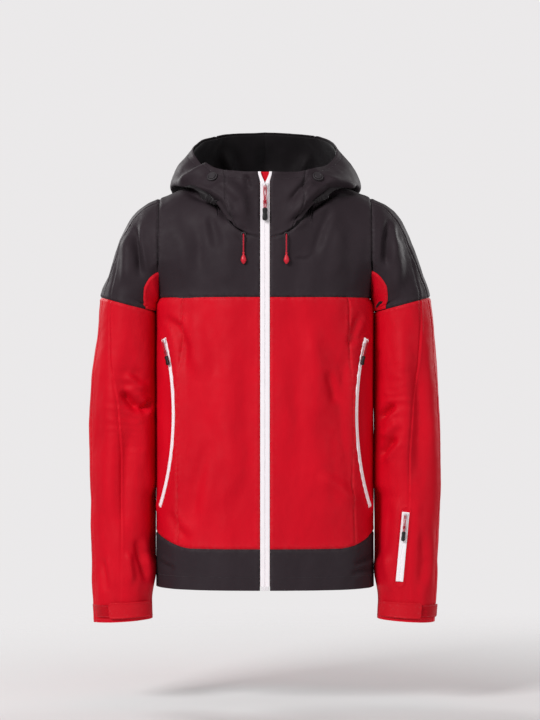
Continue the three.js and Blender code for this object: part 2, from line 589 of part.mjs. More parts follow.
// Drawcord out of the collar, hanging free, and the moulded end on it.
const DRAWCORD_ROUTE = [[0, -1.6, 0], [0, -4.2, -1], [0, -6, -3.6], [0, -6.7, -8], [0, -6.5, -16],
  [0, -6.2, -24], [0, -6.1, -30]];

function makeDrawcords() {
  const exit = V(DRAWCORD.x, -frontDepth(DRAWCORD.z), DRAWCORD.z);
  const route = new THREE.CatmullRomCurve3(DRAWCORD_ROUTE.map((point) => V(...point).add(exit)));
  const ring = new THREE.Shape().absarc(0, 0, DRAWCORD.radius, 0, 2 * Math.PI, false);
  const round = new THREE.Shape(ring.getSpacedPoints(DRAWCORD.sides).slice(0, -1));
  const cord = new THREE.ExtrudeGeometry(round, { steps: 10, extrudePath: route, bevelEnabled: false });
  addPair('drawcord', bare(cord), 'cord');
  const tip = V(...DRAWCORD_ROUTE[DRAWCORD_ROUTE.length - 1]).add(exit);
  const { length, radius } = CORD_END;
  const neck = DRAWCORD.radius + 0.6;
  const drop = turned([[0, 0], [neck, -0.4], [neck + 0.6, -3], [radius, -length * 0.62], [radius * 0.9,
    -length * 0.82], [radius * 0.55, -length * 0.96], [0, -length]].reverse(), 14);
  addPair('drawcord_end', drop.rotateX(Math.PI / 2).scale(1, 0.8, 1).translate(tip.x, tip.y, tip.z - SEAM),
    'cord', 0.5);
  setJoint('drawcord', exit, V(-1, 0, 0));
}

function makeCordLocks() {
  const { angle, along, radius, bore, base, depth, button, proud, gap } = LOCK;
  const seat = hoodAt(angle, along);
  const normal = normalAt(hoodAt, angle, along, [angle - 8, angle + 8], [along - 0.06, along + 0.06]);
  const frame = zipFrame(seat, V(0, 0, 1).addScaledVector(normal, -normal.z), normal);
  const stand = (geometry) => placed(geometry, frame);
  const rim = 0.8;
  const ring = turned([[bore, base], [radius, base], [radius, depth - rim], [radius - rim, depth], [bore, depth],
    [bore, base]], 20).rotateX(Math.PI);
  addPair('cord_lock_housing', stand(ring), 'charcoal', 0.6);
  const top = depth + proud;
  const cap = turned([[0, gap], [button, gap], [button, top - rim], [button - rim, top], [0, top]], 20)
    .rotateX(Math.PI);
  addPair('cord_lock_button', stand(cap), 'charcoal', 0.55);
  setJoint('cord_lock_press', seat, normal.clone().negate(), gap - base);
}

// Hanging loop: an arch of tape standing on the neck seam at the centre back.
function makeHanger() {
  const { half, rise, strap, thick, foot } = HANGER;
  const back = backYokeAt(0, 1);
  const arch = new THREE.Shape();
  arch.moveTo(-half, 0).lineTo(-half + strap, 0).lineTo(-half + strap, rise - strap);
  arch.lineTo(half - strap, rise - strap).lineTo(half - strap, 0).lineTo(half, 0);
  arch.lineTo(half, rise - strap * 0.5).lineTo(half - strap * 0.5, rise).lineTo(-half + strap * 0.5, rise);
  arch.lineTo(-half, rise - strap * 0.5);
  const loop = plate(arch, 0, thick).translate(0, back.y - foot, back.z);
  add('hanging_loop', loop, 'charcoal');
}

makeBody();
makeYoke();
makeHood();
makeSleeves();
makeCuffs();
makeMainZip();
makePocketZips();
makeForearmZip();
makeDrawcords();
makeCordLocks();
makeHanger();
setJoint('shoulder', V(ARMHOLE_X, 0, SHOULDER_Z), V(0, -1, 0));
setJoint('elbow', V(ARMHOLE_X + ELBOW_AXIS, ARM_Y[ELBOW] - ARM_DEPTH[ELBOW], ARM_INNER[ELBOW][1]), V(-1, 0, 0));

export default model;
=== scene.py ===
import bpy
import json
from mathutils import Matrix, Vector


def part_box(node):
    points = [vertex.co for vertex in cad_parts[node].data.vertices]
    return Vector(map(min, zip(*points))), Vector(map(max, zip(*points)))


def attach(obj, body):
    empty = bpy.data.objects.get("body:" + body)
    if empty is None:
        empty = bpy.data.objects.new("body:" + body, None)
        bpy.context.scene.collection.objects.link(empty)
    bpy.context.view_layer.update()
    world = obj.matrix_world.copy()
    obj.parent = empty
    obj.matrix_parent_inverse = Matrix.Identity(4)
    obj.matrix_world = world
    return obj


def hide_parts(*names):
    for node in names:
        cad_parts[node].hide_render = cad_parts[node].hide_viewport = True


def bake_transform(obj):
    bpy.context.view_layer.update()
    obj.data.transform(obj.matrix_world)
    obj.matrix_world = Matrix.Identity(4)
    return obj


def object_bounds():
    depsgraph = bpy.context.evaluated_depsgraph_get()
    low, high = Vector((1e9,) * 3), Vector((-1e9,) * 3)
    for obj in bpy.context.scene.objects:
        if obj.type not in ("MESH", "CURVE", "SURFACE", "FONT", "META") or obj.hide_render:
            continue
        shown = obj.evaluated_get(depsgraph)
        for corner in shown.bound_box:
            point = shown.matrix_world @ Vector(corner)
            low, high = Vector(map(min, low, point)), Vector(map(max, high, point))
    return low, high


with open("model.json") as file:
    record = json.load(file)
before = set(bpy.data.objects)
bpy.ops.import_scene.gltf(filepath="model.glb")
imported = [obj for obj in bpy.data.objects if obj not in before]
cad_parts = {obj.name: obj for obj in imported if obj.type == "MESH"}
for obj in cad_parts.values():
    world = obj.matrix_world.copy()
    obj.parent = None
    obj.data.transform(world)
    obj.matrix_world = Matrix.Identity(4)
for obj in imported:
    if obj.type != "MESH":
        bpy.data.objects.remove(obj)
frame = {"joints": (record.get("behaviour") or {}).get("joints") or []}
cad_box = [list(corner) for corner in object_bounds()]

# A hooded ski jacket: its fabric panels, zips, cords and trim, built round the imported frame.
# Shapes are worked out in millimetres, in the frame's axes: +X is the wearer's left, -Y the
# front and +Z up, with the origin at the centre of the neck. Meshes are made in metres.
import json
import math

import bmesh
import bpy
import numpy as np
from mathutils import Vector

MM = 0.001
SIDES = {"left": 1, "right": -1}

# ---- driving dimensions, as in the frame ----
YOKE_Z = -205
HEM_Z = -697
HEM_BAND = 69
HEM_RISE = 24
ARMHOLE_X = 181
HEM_HALF = 186
CHEST_FRONT = 112
CHEST_BACK = 120
HEM_BACK = 128
FRONT_SLOPE = 0.036
SQUARENESS = 2.7
SIDE_SEAM = 58
BACK_SEAM = 122
SHOULDER_Z = -32
ARMHOLE_HALF = 82
ARMHOLE_MID = 0.47
NECK_HALF = 80
NECK_FRONT_Z = -104
NECK_BACK = 0.95
NECK_LIFT = 7
FULL = 0.9999  # share of the height at the shoulder seam
COLLAR_TOP = 6
COLLAR_SEAM = 34
HOOD_SEAM = 132
LINING_START = 62
ZIP_TAPE = 8
ZIP_THICK = 2
ZIP_BOTTOM = HEM_Z + 7
SLIDER = {"width": 11, "height": 12, "thick": 3}
BAIL_REACH = 3
LOOP_HEIGHT = 37
GRIP = {"width": 9, "height": 22, "thick": 6}
SMALL = 0.75
GAP = 0.3
POCKET_LIFT = 5.6
POCKET_WIDTH = 7
FOREARM_ZIP_WIDTH = 12.7
CUFF_EDGE = 9
CUFF_TAB = {"height": 27, "thick": 2, "from": -62, "to": 24}
CUFF_PATCH = {"height": 20, "thick": 1.2, "from": -66, "to": 84}
DRAWCORD = {"x": 36, "z": -100, "radius": 1.25}
DRAWCORD_ROUTE = [(0, 0, 0), (0, -1.6, 0), (0, -4.2, -1), (0, -6, -3.6), (0, -6.7, -8), (0, -6.5, -16),
                  (0, -6.2, -24), (0, -6.1, -30), (0, -6.1, -31.5)]
CORD_END = {"length": 20, "radius": 4.6}
LOCK = {"angle": 45, "along": 0.8, "radius": 9, "bore": 6.3, "base": 0.3, "depth": 3.3, "button": 6,
        "proud": 1.2, "gap": 2.1}

HOOD_RINGS = [  # every 30 degrees from the centre front to the centre back
    [(0, -110, -82), (50, -110, -72), (100, -88, -27), (122, 4, 2), (100, 80, -2), (56, 122, -22),
     (0, 130, -26)],
    [(0, -109, -55), (56, -109, -46), (122, -76, -22), (160, 6, -12), (146, 100, -36), (84, 160, -74),
     (0, 180, -92)],
    [(0, -107, -28), (57, -104, -20), (118, -66, 6), (150, 16, 20), (138, 104, 18), (84, 176, 6),
     (0, 200, 0)],
    [(0, 0, COLLAR_TOP), (62, -84, 8), (108, -38, 26), (123, 26, 52), (104, 92, 78), (60, 138, 90),
     (0, 152, 94)],
]
INNER_WAY = [(0, 0), (3, -6), (6, -12), (8, -16), (9, -19), (10, -21), (11, -24), (11, -105), (11, -190),
             (13, -295), (14, -395), (14, -475), (11, -545)]
OUTER_WAY = [(0, 0), (24, -10), (45, -30), (62, -60), (76, -96), (89, -132), (102, -172), (112, -268),
             (118, -363), (120, -468), (118, -568), (115, -648), (109, -724)]
ARM_DEPTH = [ARMHOLE_HALF, 80, 78, 76, 74, 72, 71, 67, 64, 62, 59, 56, 54]
ARM_Y = [0, 0, 0, 0, 0, 0, 0, -3, -8, -16, -26, -33, -38]
SHOULDER_END = 6
CUFF_STATION = 12
ELBOW_Z = -400

# ---- sizes that only this script sets ----
STITCH_INSET = {"hem": 22, "rim": 13, "cuff": 5, "patch": 1.6}  # from each row to its edge
HEM_FOLD = {"hem": 24, "cuff": 14}  # height of the doubled cloth
SLEEVE_CLOSE = {"top": (-206, -220), "bottom": (-724, -668)}  # heights where it nears the body
PULL_CLEAR = {"top": (-520, -545), "bottom": (-660, -635)}  # and where its front stays away
SHOULDER_BLEND = {"outside": 0.5, "tilt": 14, "length": 30}
ELBOW_BLEND = {"x": 240, "from": -335, "to": -455}
# The facing's share of the hood is painted shade: a dark sheet along the inside of the hood below the rim,
# where the pale lining lies in shadow.
HOOD_INSIDE_EDGES = {"lining": (0.667, 0.79), "facing": (0.79, 0.985)}  # shares of the hood's height
STOP_WIDTH = 12.8
STORM_FLAP = {"from": -12, "to": 18, "top": 9, "inside": 4.4}
POCKET_BAG = {"from": 20, "to": 50, "low": -545, "high": -290, "inside": 6.5}
STRAP_PER_DEGREE = 1.15  # length of a cuff strap for each degree round the sleeve
LOOP_TAPE = 8
LOCK_ROUND = 0.8
FLOOR_DROP = 0.14  # metres from the hem to the floor


# ---- camera: level, at the height of the chest pockets, a long way off ----
def make_camera():
    data = bpy.data.cameras.new("camera")
    data.lens = 134
    camera = bpy.data.objects.new("camera", data)
    camera.location = (0.0084, -4.61, -0.311)
    camera.rotation_euler = (math.radians(90), 0, 0)
    bpy.context.scene.collection.objects.link(camera)
    bpy.context.scene.camera = camera


make_camera()


# ---- numbers ----
def smooth(start, end, x):
    t = np.clip((x - start) / (end - start), 0, 1)
    return t * t * (3 - 2 * t)


def lerp(a, b, t):
    return a + (b - a) * t


def through(values, k):
    """Smooth curve through equally spaced values, or rows of values; k counts them."""
    values, k = np.asarray(values, float), np.asarray(k, float)
    last = len(values) - 1
    i = np.clip(np.floor(k).astype(int), 0, last - 1)
    t = k - i
    rows = np.arange(k.size).reshape(k.shape)

    def at(n):
        n = np.clip(n, 0, last)
        return values[n, rows] if values.ndim == 3 else values[n]

    a, b, c, d = at(i - 1), at(i), at(i + 1), at(i + 2)
    if b.ndim > t.ndim:
        t = t[..., None]
    return 0.5 * (2 * b + (c - a) * t + (2 * a - 5 * b + 4 * c - d) * t**2 + (3 * b - a - 3 * c + d) * t**3)


def unit(v):
    v = np.asarray(v, float)
    return v / np.maximum(np.linalg.norm(v, axis=-1, keepdims=True), 1e-12)


def steps(start, end, count):
    """Values from start to end, closer together in the first and last step, where seams are."""
    t = np.linspace(0, 1, count + 1)
    near = np.array([0.12, 0.3, 0.55, 0.8]) / count
    return lerp(start, end, np.unique(np.concatenate([t, near, 1 - near])))


def noise(p, seed):
    """Smooth noise of about -0.5 to 0.5, the same on every run."""
    cell = np.floor(p).astype(np.int64)
    f = p - cell
    fade = f**3 * (f * (f * 6 - 15) + 10)
    total = np.zeros(len(p))
    for corner in np.ndindex(2, 2, 2):
        c = cell + corner
        h = c[:, 0] * 73856093 ^ c[:, 1] * 19349663 ^ c[:, 2] * 83492791 ^ (seed * 40503 + 977)
        h = ((h ^ (h >> 13)) * 1274126177) & 0x7FFFFFFF
        turn = (h % 1024) * (2 * np.pi / 1024)
        rise = ((h >> 10) % 1024) / 511.5 - 1
        flat = np.sqrt(1 - rise**2)
        slope = np.stack([flat * np.cos(turn), flat * np.sin(turn), rise], 1)
        weight = np.prod(np.where(corner, fade, 1 - fade), 1)
        total += weight * np.sum(slope * (f - corner), 1)
    return total


# ---- surfaces of the garment, as in the frame ----
def points(x, y, z):
    return np.stack(np.broadcast_arrays(x, y, z), -1).astype(float)


def front_depth(z):
    return CHEST_FRONT + FRONT_SLOPE * (YOKE_Z - z)


def lower(z):
    return smooth(YOKE_Z - 150, HEM_Z, z)


def body_at(angle, z):
    sin, cos = np.sin(np.radians(angle)), np.cos(np.radians(angle))
    depth = np.where(cos > 0, front_depth(z), lerp(CHEST_BACK, HEM_BACK, lower(z)))
    half = lerp(ARMHOLE_X, HEM_HALF, lower(z))
    radius = (np.abs(sin / half) ** SQUARENESS + np.abs(cos / depth) ** SQUARENESS) ** (-1 / SQUARENESS)
    return points(radius * sin, -radius * cos, z)


def depth_at(x, z, depth):
    half = lerp(ARMHOLE_X, HEM_HALF, lower(z))
    return depth * np.maximum(0, 1 - (np.abs(x) / half) ** SQUARENESS) ** (1 / SQUARENESS)


def zip_edge(z):
    return np.degrees(np.arctan2(ZIP_TAPE + GAP, front_depth(z)))


FIRST = float(zip_edge(HEM_Z))


def beside_zip(angle, z):
    near = lerp(zip_edge(z), SIDE_SEAM, (angle - FIRST) / (SIDE_SEAM - FIRST))
    return np.where(angle < SIDE_SEAM, near, angle)


def band_top(angle):
    mirror = np.where(angle > 180, 360 - angle, angle)
    return HEM_Z + HEM_BAND + HEM_RISE * smooth(42, 6, np.abs(90 - mirror))


def ridge(x):
    return SHOULDER_Z * (np.maximum(0, np.abs(x) - 60) / (ARMHOLE_X - 60)) ** 1.3


def yoke_reach(x, s, is_front):
    depth = CHEST_FRONT if is_front else CHEST_BACK
    slope = FRONT_SLOPE * (ridge(x) - YOKE_Z) * s if is_front else 0
    closing = lerp(6, 3, smooth(20, NECK_HALF, np.abs(x))) if is_front else 3
    arch = (depth - slope) * np.maximum(0, 1 - s**closing) ** (1 / closing)
    oval = ARMHOLE_HALF * np.sqrt(np.maximum(0, 1 - ((s - ARMHOLE_MID) / (1 - ARMHOLE_MID)) ** 2))
    upper = lerp(arch, oval, (np.abs(x) / ARMHOLE_X) ** 3.2)
    return lerp(depth_at(x, YOKE_Z, depth), upper, np.minimum(1, s / 0.35) ** 0.6)


def yoke_at(x, v, is_front):
    inside = np.abs(x) < NECK_HALF
    share = np.minimum(1, np.abs(x) / NECK_HALF)
    if is_front:
        neck = np.arcsin(share) / (np.pi / 2)
        neck_z = lerp(NECK_FRONT_Z, ridge(NECK_HALF), neck**2.2)
        top = np.minimum(FULL, (neck_z - YOKE_Z) / (ridge(x) - YOKE_Z))
    else:
        top = lerp(NECK_BACK, FULL, share**2)
    s = np.where(inside, top, FULL) * np.sin(v * np.pi / 2) ** 0.9
    reach = np.maximum(GAP, yoke_reach(x, s, is_front))
    return points(x, -reach if is_front else reach, lerp(YOKE_Z, ridge(x), s))


def hood_at(angle, s):
    around = np.where(angle > 180, 360 - angle, angle)
    rings = [through(ring, around / 30) for ring in HOOD_RINGS]
    rim = rings[-1]
    rim[:, 1] = lerp(-front_depth(rim[:, 2]), rim[:, 1], smooth(0, 30, around))
    x = np.minimum(NECK_HALF * np.sin(np.radians(around)), NECK_HALF - 0.01)
    one = np.ones_like(x)
    neck = np.where((around < 90)[:, None], yoke_at(x, one, True), yoke_at(x, one, False))
    neck[:, 2] += GAP + NECK_LIFT * smooth(15, 60, around)
    point = through(np.stack([neck, *rings]), s * 4)
    straight = 1 - smooth(9, 36, around)
    point[:, 1] = lerp(point[:, 1], -front_depth(point[:, 2]), straight)
    point[:, 0] *= np.where(angle > 180, -1, 1)
    return point


def collar_at(angle, s):
    """The collar starts at the zip tape, at every height."""
    low, high = np.zeros_like(s), np.full_like(s, COLLAR_SEAM)
    for _ in range(24):
        middle = (low + high) / 2
        short = hood_at(middle, s)[:, 0] < ZIP_TAPE + GAP
        low, high = np.where(short, middle, low), np.where(short, high, middle)
    point = hood_at(lerp(low, COLLAR_SEAM, angle / COLLAR_SEAM), s)
    point[:, 0] += parting(point[:, 2]) * (1 - smooth(9, 34, point[:, 0]))
    return point


def parting(z):
    """How far the collar's edges fall apart above the slider, on each side."""
    return 4 * smooth(-14, COLLAR_TOP, z)


def sleeve_at(angle, k):
    """The sleeve hangs close to the body on its inner side, and keeps clear of a lowered pocket pull."""
    point = bare_sleeve(angle, k)
    z = point[:, 2]
    inner = ((1 - np.sin(np.radians(angle))) / 2) ** 3
    edge = ARMHOLE_X + through(INNER_WAY, k)[:, 0]
    front = smooth(-0.2, 0.15, np.cos(np.radians(angle)))
    inner *= 1 - front * smooth(*PULL_CLEAR["top"], z) * smooth(*PULL_CLEAR["bottom"], z)
    closeness = smooth(*SLEEVE_CLOSE["top"], z) * smooth(*SLEEVE_CLOSE["bottom"], z)
    point[:, 0] -= np.maximum(0, edge - HEM_HALF) * inner * closeness
    return point


def bare_sleeve(angle, k):
    inner, outer = through(INNER_WAY, k), through(OUTER_WAY, k)
    across = (1 + np.sin(np.radians(angle))) / 2
    cos = np.cos(np.radians(angle))
    oval = through(ARM_DEPTH, k) * np.sign(cos) * np.abs(cos) ** 0.9
    armhole = np.sign(cos) * yoke_reach(ARMHOLE_X, across, True)
    depth = lerp(armhole, oval, smooth(0, 1.6, k))
    x = ARMHOLE_X + lerp(inner[:, 0], outer[:, 0], across)
    z = lerp(YOKE_Z + inner[:, 1], SHOULDER_Z + outer[:, 1], across)
    return points(x, through(ARM_Y, k) - depth, z)


def cuff_station(height):
    return CUFF_STATION - height / (INNER_WAY[-2][1] - INNER_WAY[-1][1])


# ---- joints of the frame, in millimetres ----
JOINTS = {joint["name"]: joint for joint in frame["joints"]}


def joint_axis(name):
    return unit(JOINTS[name]["axis"])


def joint_point(name):
    return np.array(JOINTS[name]["pos_m"]) / MM


def slider_frame(slide, pull, scale):
    """Axes and origin of a closed slider: Z up its zip, -Y out, the tape's face at y = 0."""
    across = -joint_axis(pull)
    hinge = joint_point(pull)
    if JOINTS[slide]["type"] == "hinge":
        up = -np.cross(joint_axis(slide), hinge - joint_point(slide))
    else:
        up = -joint_axis(slide)
    up = unit(up - across * np.dot(up, across))
    inward = np.cross(up, across)
    origin = hinge + inward * (GAP + (SLIDER["thick"] + BAIL_REACH) * scale)
    return {"x": across, "y": inward, "z": up, "origin": origin, "scale": scale}


def in_frame(place, p):
    """Points given in a slider's frame, in the garment's."""
    p = np.asarray(p, float)
    return place["origin"] + p[..., :1] * place["x"] + p[..., 1:2] * place["y"] + p[..., 2:3] * place["z"]


MAIN_ZIP = slider_frame("main_zip_slide", "main_zip_pull_swing", 1)
FOREARM_ZIP = slider_frame("forearm_zip_slide", "forearm_zip_pull_swing", SMALL)
FOREARM_TRAVEL = JOINTS["forearm_zip_slide"]["range_m"][1] / MM
END_INSET = SLIDER["height"] * SMALL * 0.6  # from a small zip's end to its slider's centre
POCKET_ZIP = {side: slider_frame(f"pocket_zip_slide_{side}", f"pocket_zip_pull_swing_{side}", SMALL)
              for side in SIDES}


class Arc:
    """The curved pocket zip of one side: points near it as distance along, across and out."""

    def __init__(self, side):
        self.centre = joint_point(f"pocket_zip_slide_{side}")
        self.out = joint_axis(f"pocket_zip_slide_{side}")
        if self.out[1] > 0:
            self.out = -self.out
        place = POCKET_ZIP[side]
        spoke = place["origin"] - self.centre
        self.spoke = spoke - self.out * np.dot(spoke, self.out)
        self.radius = np.linalg.norm(self.spoke)
        self.spoke = self.spoke / self.radius
        self.up = place["z"] - self.out * np.dot(place["z"], self.out)
        travel = math.radians(JOINTS[f"pocket_zip_slide_{side}"]["range_deg"][1]) * self.radius
        self.top, self.bottom = END_INSET, -travel - END_INSET

    def measure(self, p):
        rel = p - self.centre
        out = rel @ self.out
        a, b = rel @ self.spoke, rel @ self.up
        along = np.arctan2(b, a) * self.radius
        return along, np.hypot(a, b) - self.radius, out - POCKET_LIFT

    def place(self, along, across, out):
        turn = np.asarray(along, float)[..., None] / self.radius
        ring = (self.radius + np.asarray(across, float))[..., None]
        height = (np.asarray(out, float) + POCKET_LIFT)[..., None]
        return self.centre + ring * (np.cos(turn) * self.spoke + np.sin(turn) * self.up) + height * self.out


class Straight:
    """The straight zip on the left forearm, measured the same way."""

    top = END_INSET
    bottom = -FOREARM_TRAVEL - END_INSET

    def measure(self, p):
        rel = p - FOREARM_ZIP["origin"]
        return rel @ FOREARM_ZIP["z"], rel @ FOREARM_ZIP["x"], -(rel @ FOREARM_ZIP["y"])

    def place(self, along, across, out):
        return in_frame(FOREARM_ZIP, points(across, -np.asarray(out, float), along))


POCKET_ARC = {side: Arc(side) for side in SIDES}
FOREARM_LINE = Straight()


def seat_zip(p, zip_line, half):
    """Brings fabric up to the back of a zip's tape, with a rounded lip along each edge."""
    along, across, out = zip_line.measure(p)
    beyond = np.maximum(0, np.maximum(along - zip_line.top, zip_line.bottom - along))
    near = (1 - smooth(half + 3, half + 24, np.abs(across))) * (1 - smooth(1, 26, beyond))
    near = near * (np.abs(out) < 30)
    lip = 1.7 * np.exp(-(((np.hypot(across, beyond) - half - 1.9) / 1.4) ** 2))
    target = -ZIP_THICK - 0.15 + lip
    moved = zip_line.place(along, across, lerp(out, target, near))
    return np.where((near > 1e-4)[:, None], moved, p)


# ---- folds of the fabric ----
# Each fold is a line seen from the front or the back, as (x, z), with its height and its
# width at both ends. A negative height is a valley. All heights grow by FOLD_STRENGTH.
FOLD_STRENGTH = 2.1
FRONT_FOLDS = [
    # hood and collar
    ([(-33, 2), (-29, -12), (-24, -27)], -3.2, 4, 6),
    ([(-152, -14), (-116, 9), (-80, 24)], 5, 7, 9),
    ([(-140, -20), (-97, -36), (-77, -49), (-66, -68), (-44, -84)], -5, 7, 6),
    ([(-98, -8), (-62, -20), (-39, -40), (-29, -88)], 3.2, 9, 11),
    ([(84, 8), (66, -14), (52, -31), (38, -51)], -3.6, 5, 6),
    ([(128, -16), (104, -34), (82, -52), (56, -72), (32, -88)], -4.6, 7, 6),
    ([(164, -22), (140, -12), (118, -8), (98, -2)], 4, 6, 8),
    ([(112, 2), (84, -26), (58, -54), (40, -76)], 3, 8, 8),
    # yoke
    ([(-96, -62), (-88, -90), (-80, -128)], -2.2, 7, 10),
    ([(-60, -104), (-64, -140), (-60, -190)], 1.6, 12, 16),
    ([(114, -50), (98, -84), (86, -118), (76, -140)], -2.4, 7, 8),
    ([(48, -139), (66, -141), (84, -138)], -1, 2.5, 3),
    ([(130, -70), (122, -120), (126, -180)], 1.8, 12, 14),
    ([(-150, -70), (-140, -120), (-132, -190)], 1.8, 12, 16),
    ([(-120, -60), (-112, -110), (-116, -170)], -1.5, 9, 12),
    # sleeve on the wearer's right
    ([(-222, -72), (-222, -112), (-214, -150), (-208, -176)], -5, 7, 7),
    ([(-236, -90), (-238, -140), (-232, -190)], 3, 10, 12),
    ([(-246, -362), (-228, -380), (-208, -398)], -6, 6, 8),
    ([(-192, -376), (-200, -388), (-212, -399)], -5, 5, 6),
    ([(-238, -330), (-222, -352), (-200, -366)], 3, 8, 9),
    ([(-257, -250), (-259, -420), (-264, -600)], 3.2, 14, 18),
    ([(-232, -420), (-238, -520), (-240, -620)], -2.6, 11, 14),
    ([(-219, -610), (-208, -650), (-196, -690)], -3.6, 6, 6),
    ([(-232, -630), (-228, -664), (-224, -694)], 2, 6, 7),
    ([(-280, -640), (-272, -676), (-266, -706)], -2, 6, 7),
    # sleeve on the wearer's left
    ([(212, -66), (206, -110), (204, -160)], -5, 6, 7),
    ([(222, -90), (226, -150), (220, -210)], 3, 10, 12),
    ([(224, -386), (208, -398), (190, -416)], -5.5, 6, 7),
    ([(226, -440), (206, -462), (190, -478)], -4.5, 6, 7),
    ([(230, -412), (212, -430), (196, -446)], 3, 7, 8),
    ([(226, -220), (238, -370), (228, -540)], 3, 14, 18),
    ([(256, -300), (262, -420), (258, -540)], -2.4, 12, 14),
    ([(206, -560), (203, -620), (208, -690)], 2.4, 8, 9),
    ([(266, -590), (270, -650), (262, -706)], -2.2, 8, 9),
    # body
    ([(-176, -232), (-150, -256), (-137, -288), (-137, -335)], -3, 7, 9),
    ([(-128, -226), (-112, -280), (-108, -350)], 2.4, 12, 16),
    ([(160, -228), (150, -262), (141, -296)], -2.8, 6, 7),
    ([(170, -262), (158, -276), (146, -282)], -1.8, 4, 5),
    ([(104, -326), (113, -356), (122, -388)], -2.4, 7, 8),
    ([(86, -500), (126, -528), (160, -560)], 2.4, 11, 12),
    ([(70, -240), (92, -330), (96, -430)], 2.2, 16, 20),
    ([(40, -300), (54, -400), (60, -560)], -1.8, 14, 18),
    ([(-52, -260), (-64, -380), (-56, -560)], 2, 18, 22),
    ([(-96, -440), (-116, -520), (-128, -600)], -2.2, 12, 13),
    ([(-30, -420), (-46, -500), (-86, -570)], 1.5, 14, 16),
    ([(-168, -560), (-150, -596), (-120, -618)], -1.8, 7, 8),
    ([(188, -640), (168, -648), (146, -656)], -2.4, 4, 5),
    ([(186, -668), (166, -664), (140, -672)], -1.8, 4, 5),
    ([(-186, -650), (-168, -660), (-150, -664)], -1.6, 4, 5),
]
# Seams within a panel, as seen from the front, and the height and widths of their groove.
SEAM_GROOVE = (-1.5, 1.7, 1.7)
FRONT_SEAMS = [
    [(sign * x, z) for x, z in line] for sign in (1, -1) for line in (
        [(216, -58), (235, -94), (252, -136), (264, -195), (265, -247), (260, -321), (250, -383), (244, -470),
         (243, -600), (244, -770)],
        [(150, -212), (163, -240), (174, -262), (180, -284), (183, -310)],
    )
]
BACK_FOLDS = [
    ([(-128, -80), (-136, -150), (-150, -230)], -4, 10, 12),
    ([(128, -84), (138, -150), (152, -228)], -4, 10, 12),
    ([(-70, -120), (-82, -220), (-78, -330)], 3, 16, 20),
    ([(66, -120), (80, -210), (92, -320)], 3, 16, 20),
    ([(-8, -150), (6, -300), (-4, -470)], -2.4, 18, 24),
    ([(-150, -300), (-110, -352), (-40, -380)], -3, 9, 12),
    ([(152, -320), (104, -366), (30, -392)], -3, 9, 12),
    ([(-160, -420), (-120, -452), (-60, -466)], 2.6, 10, 12),
    ([(160, -440), (120, -466), (56, -476)], 2.6, 10, 12),
    ([(-60, -520), (-70, -590), (-66, -660)], -2.2, 12, 14),
    ([(70, -510), (76, -590), (72, -670)], -2.2, 12, 14),
    ([(-214, -120), (-206, -180), (-198, -240)], -5, 8, 9),
    ([(214, -120), (206, -180), (198, -240)], -5, 8, 9),
    ([(-250, -300), (-256, -420), (-262, -560)], 3, 13, 16),
    ([(250, -300), (258, -420), (262, -560)], 3, 13, 16),
    ([(-232, -440), (-226, -540), (-232, -640)], -2.6, 12, 14),
    ([(232, -430), (226, -540), (230, -650)], -2.6, 12, 14),
    # hood pouch
    ([(-80, 70), (-60, 20), (-30, -30)], -4, 9, 12),
    ([(84, 66), (62, 16), (26, -36)], -4, 9, 12),
    ([(0, 80), (4, 30), (-4, -60)], 3, 16, 20),
]


def fold_height(p, facing, fold):
    line, height, width_from, width_to = fold
    line = np.array(line, float)
    flat = p[:, [0, 2]]
    reach = 4 * max(width_from, width_to)
    near = np.all((flat > line.min(0) - reach) & (flat < line.max(0) + reach), 1) & (facing > 0)
    out = np.zeros(len(p))
    flat = flat[near]
    lengths = np.linalg.norm(np.diff(line, axis=0), axis=1)
    best, side, share, done = np.full(len(flat), 1e9), np.zeros(len(flat)), np.zeros(len(flat)), 0
    for a, b, length in zip(line[:-1], line[1:], lengths):
        way = (b - a) / length
        rel = flat - a
        t = np.clip(rel @ way, 0, length)
        apart = np.linalg.norm(rel - t[:, None] * way, axis=1)
        closer = apart < best
        turn = np.sign(way[0] * rel[:, 1] - way[1] * rel[:, 0])
        best, side = np.where(closer, apart, best), np.where(closer, turn, side)
        share = np.where(closer, (done + t) / lengths.sum(), share)
        done += length
    k = side * best / lerp(width_from, width_to, share)
    ends = smooth(0, 0.3, share) * smooth(1, 0.7, share)
    out[near] = height * ends * (np.exp(-k * k) - 0.4 * np.exp(-((k - 1.8) ** 2)))
    return out * facing


def sleeve_share(p):
    """1 on the sleeves, 0 on the body."""
    return smooth(196, 214, np.abs(p[:, 0])) * smooth(-60, -120, p[:, 2])


CALM = []  # places where fabric lies flat under a fitting: point, flat radius, far radius


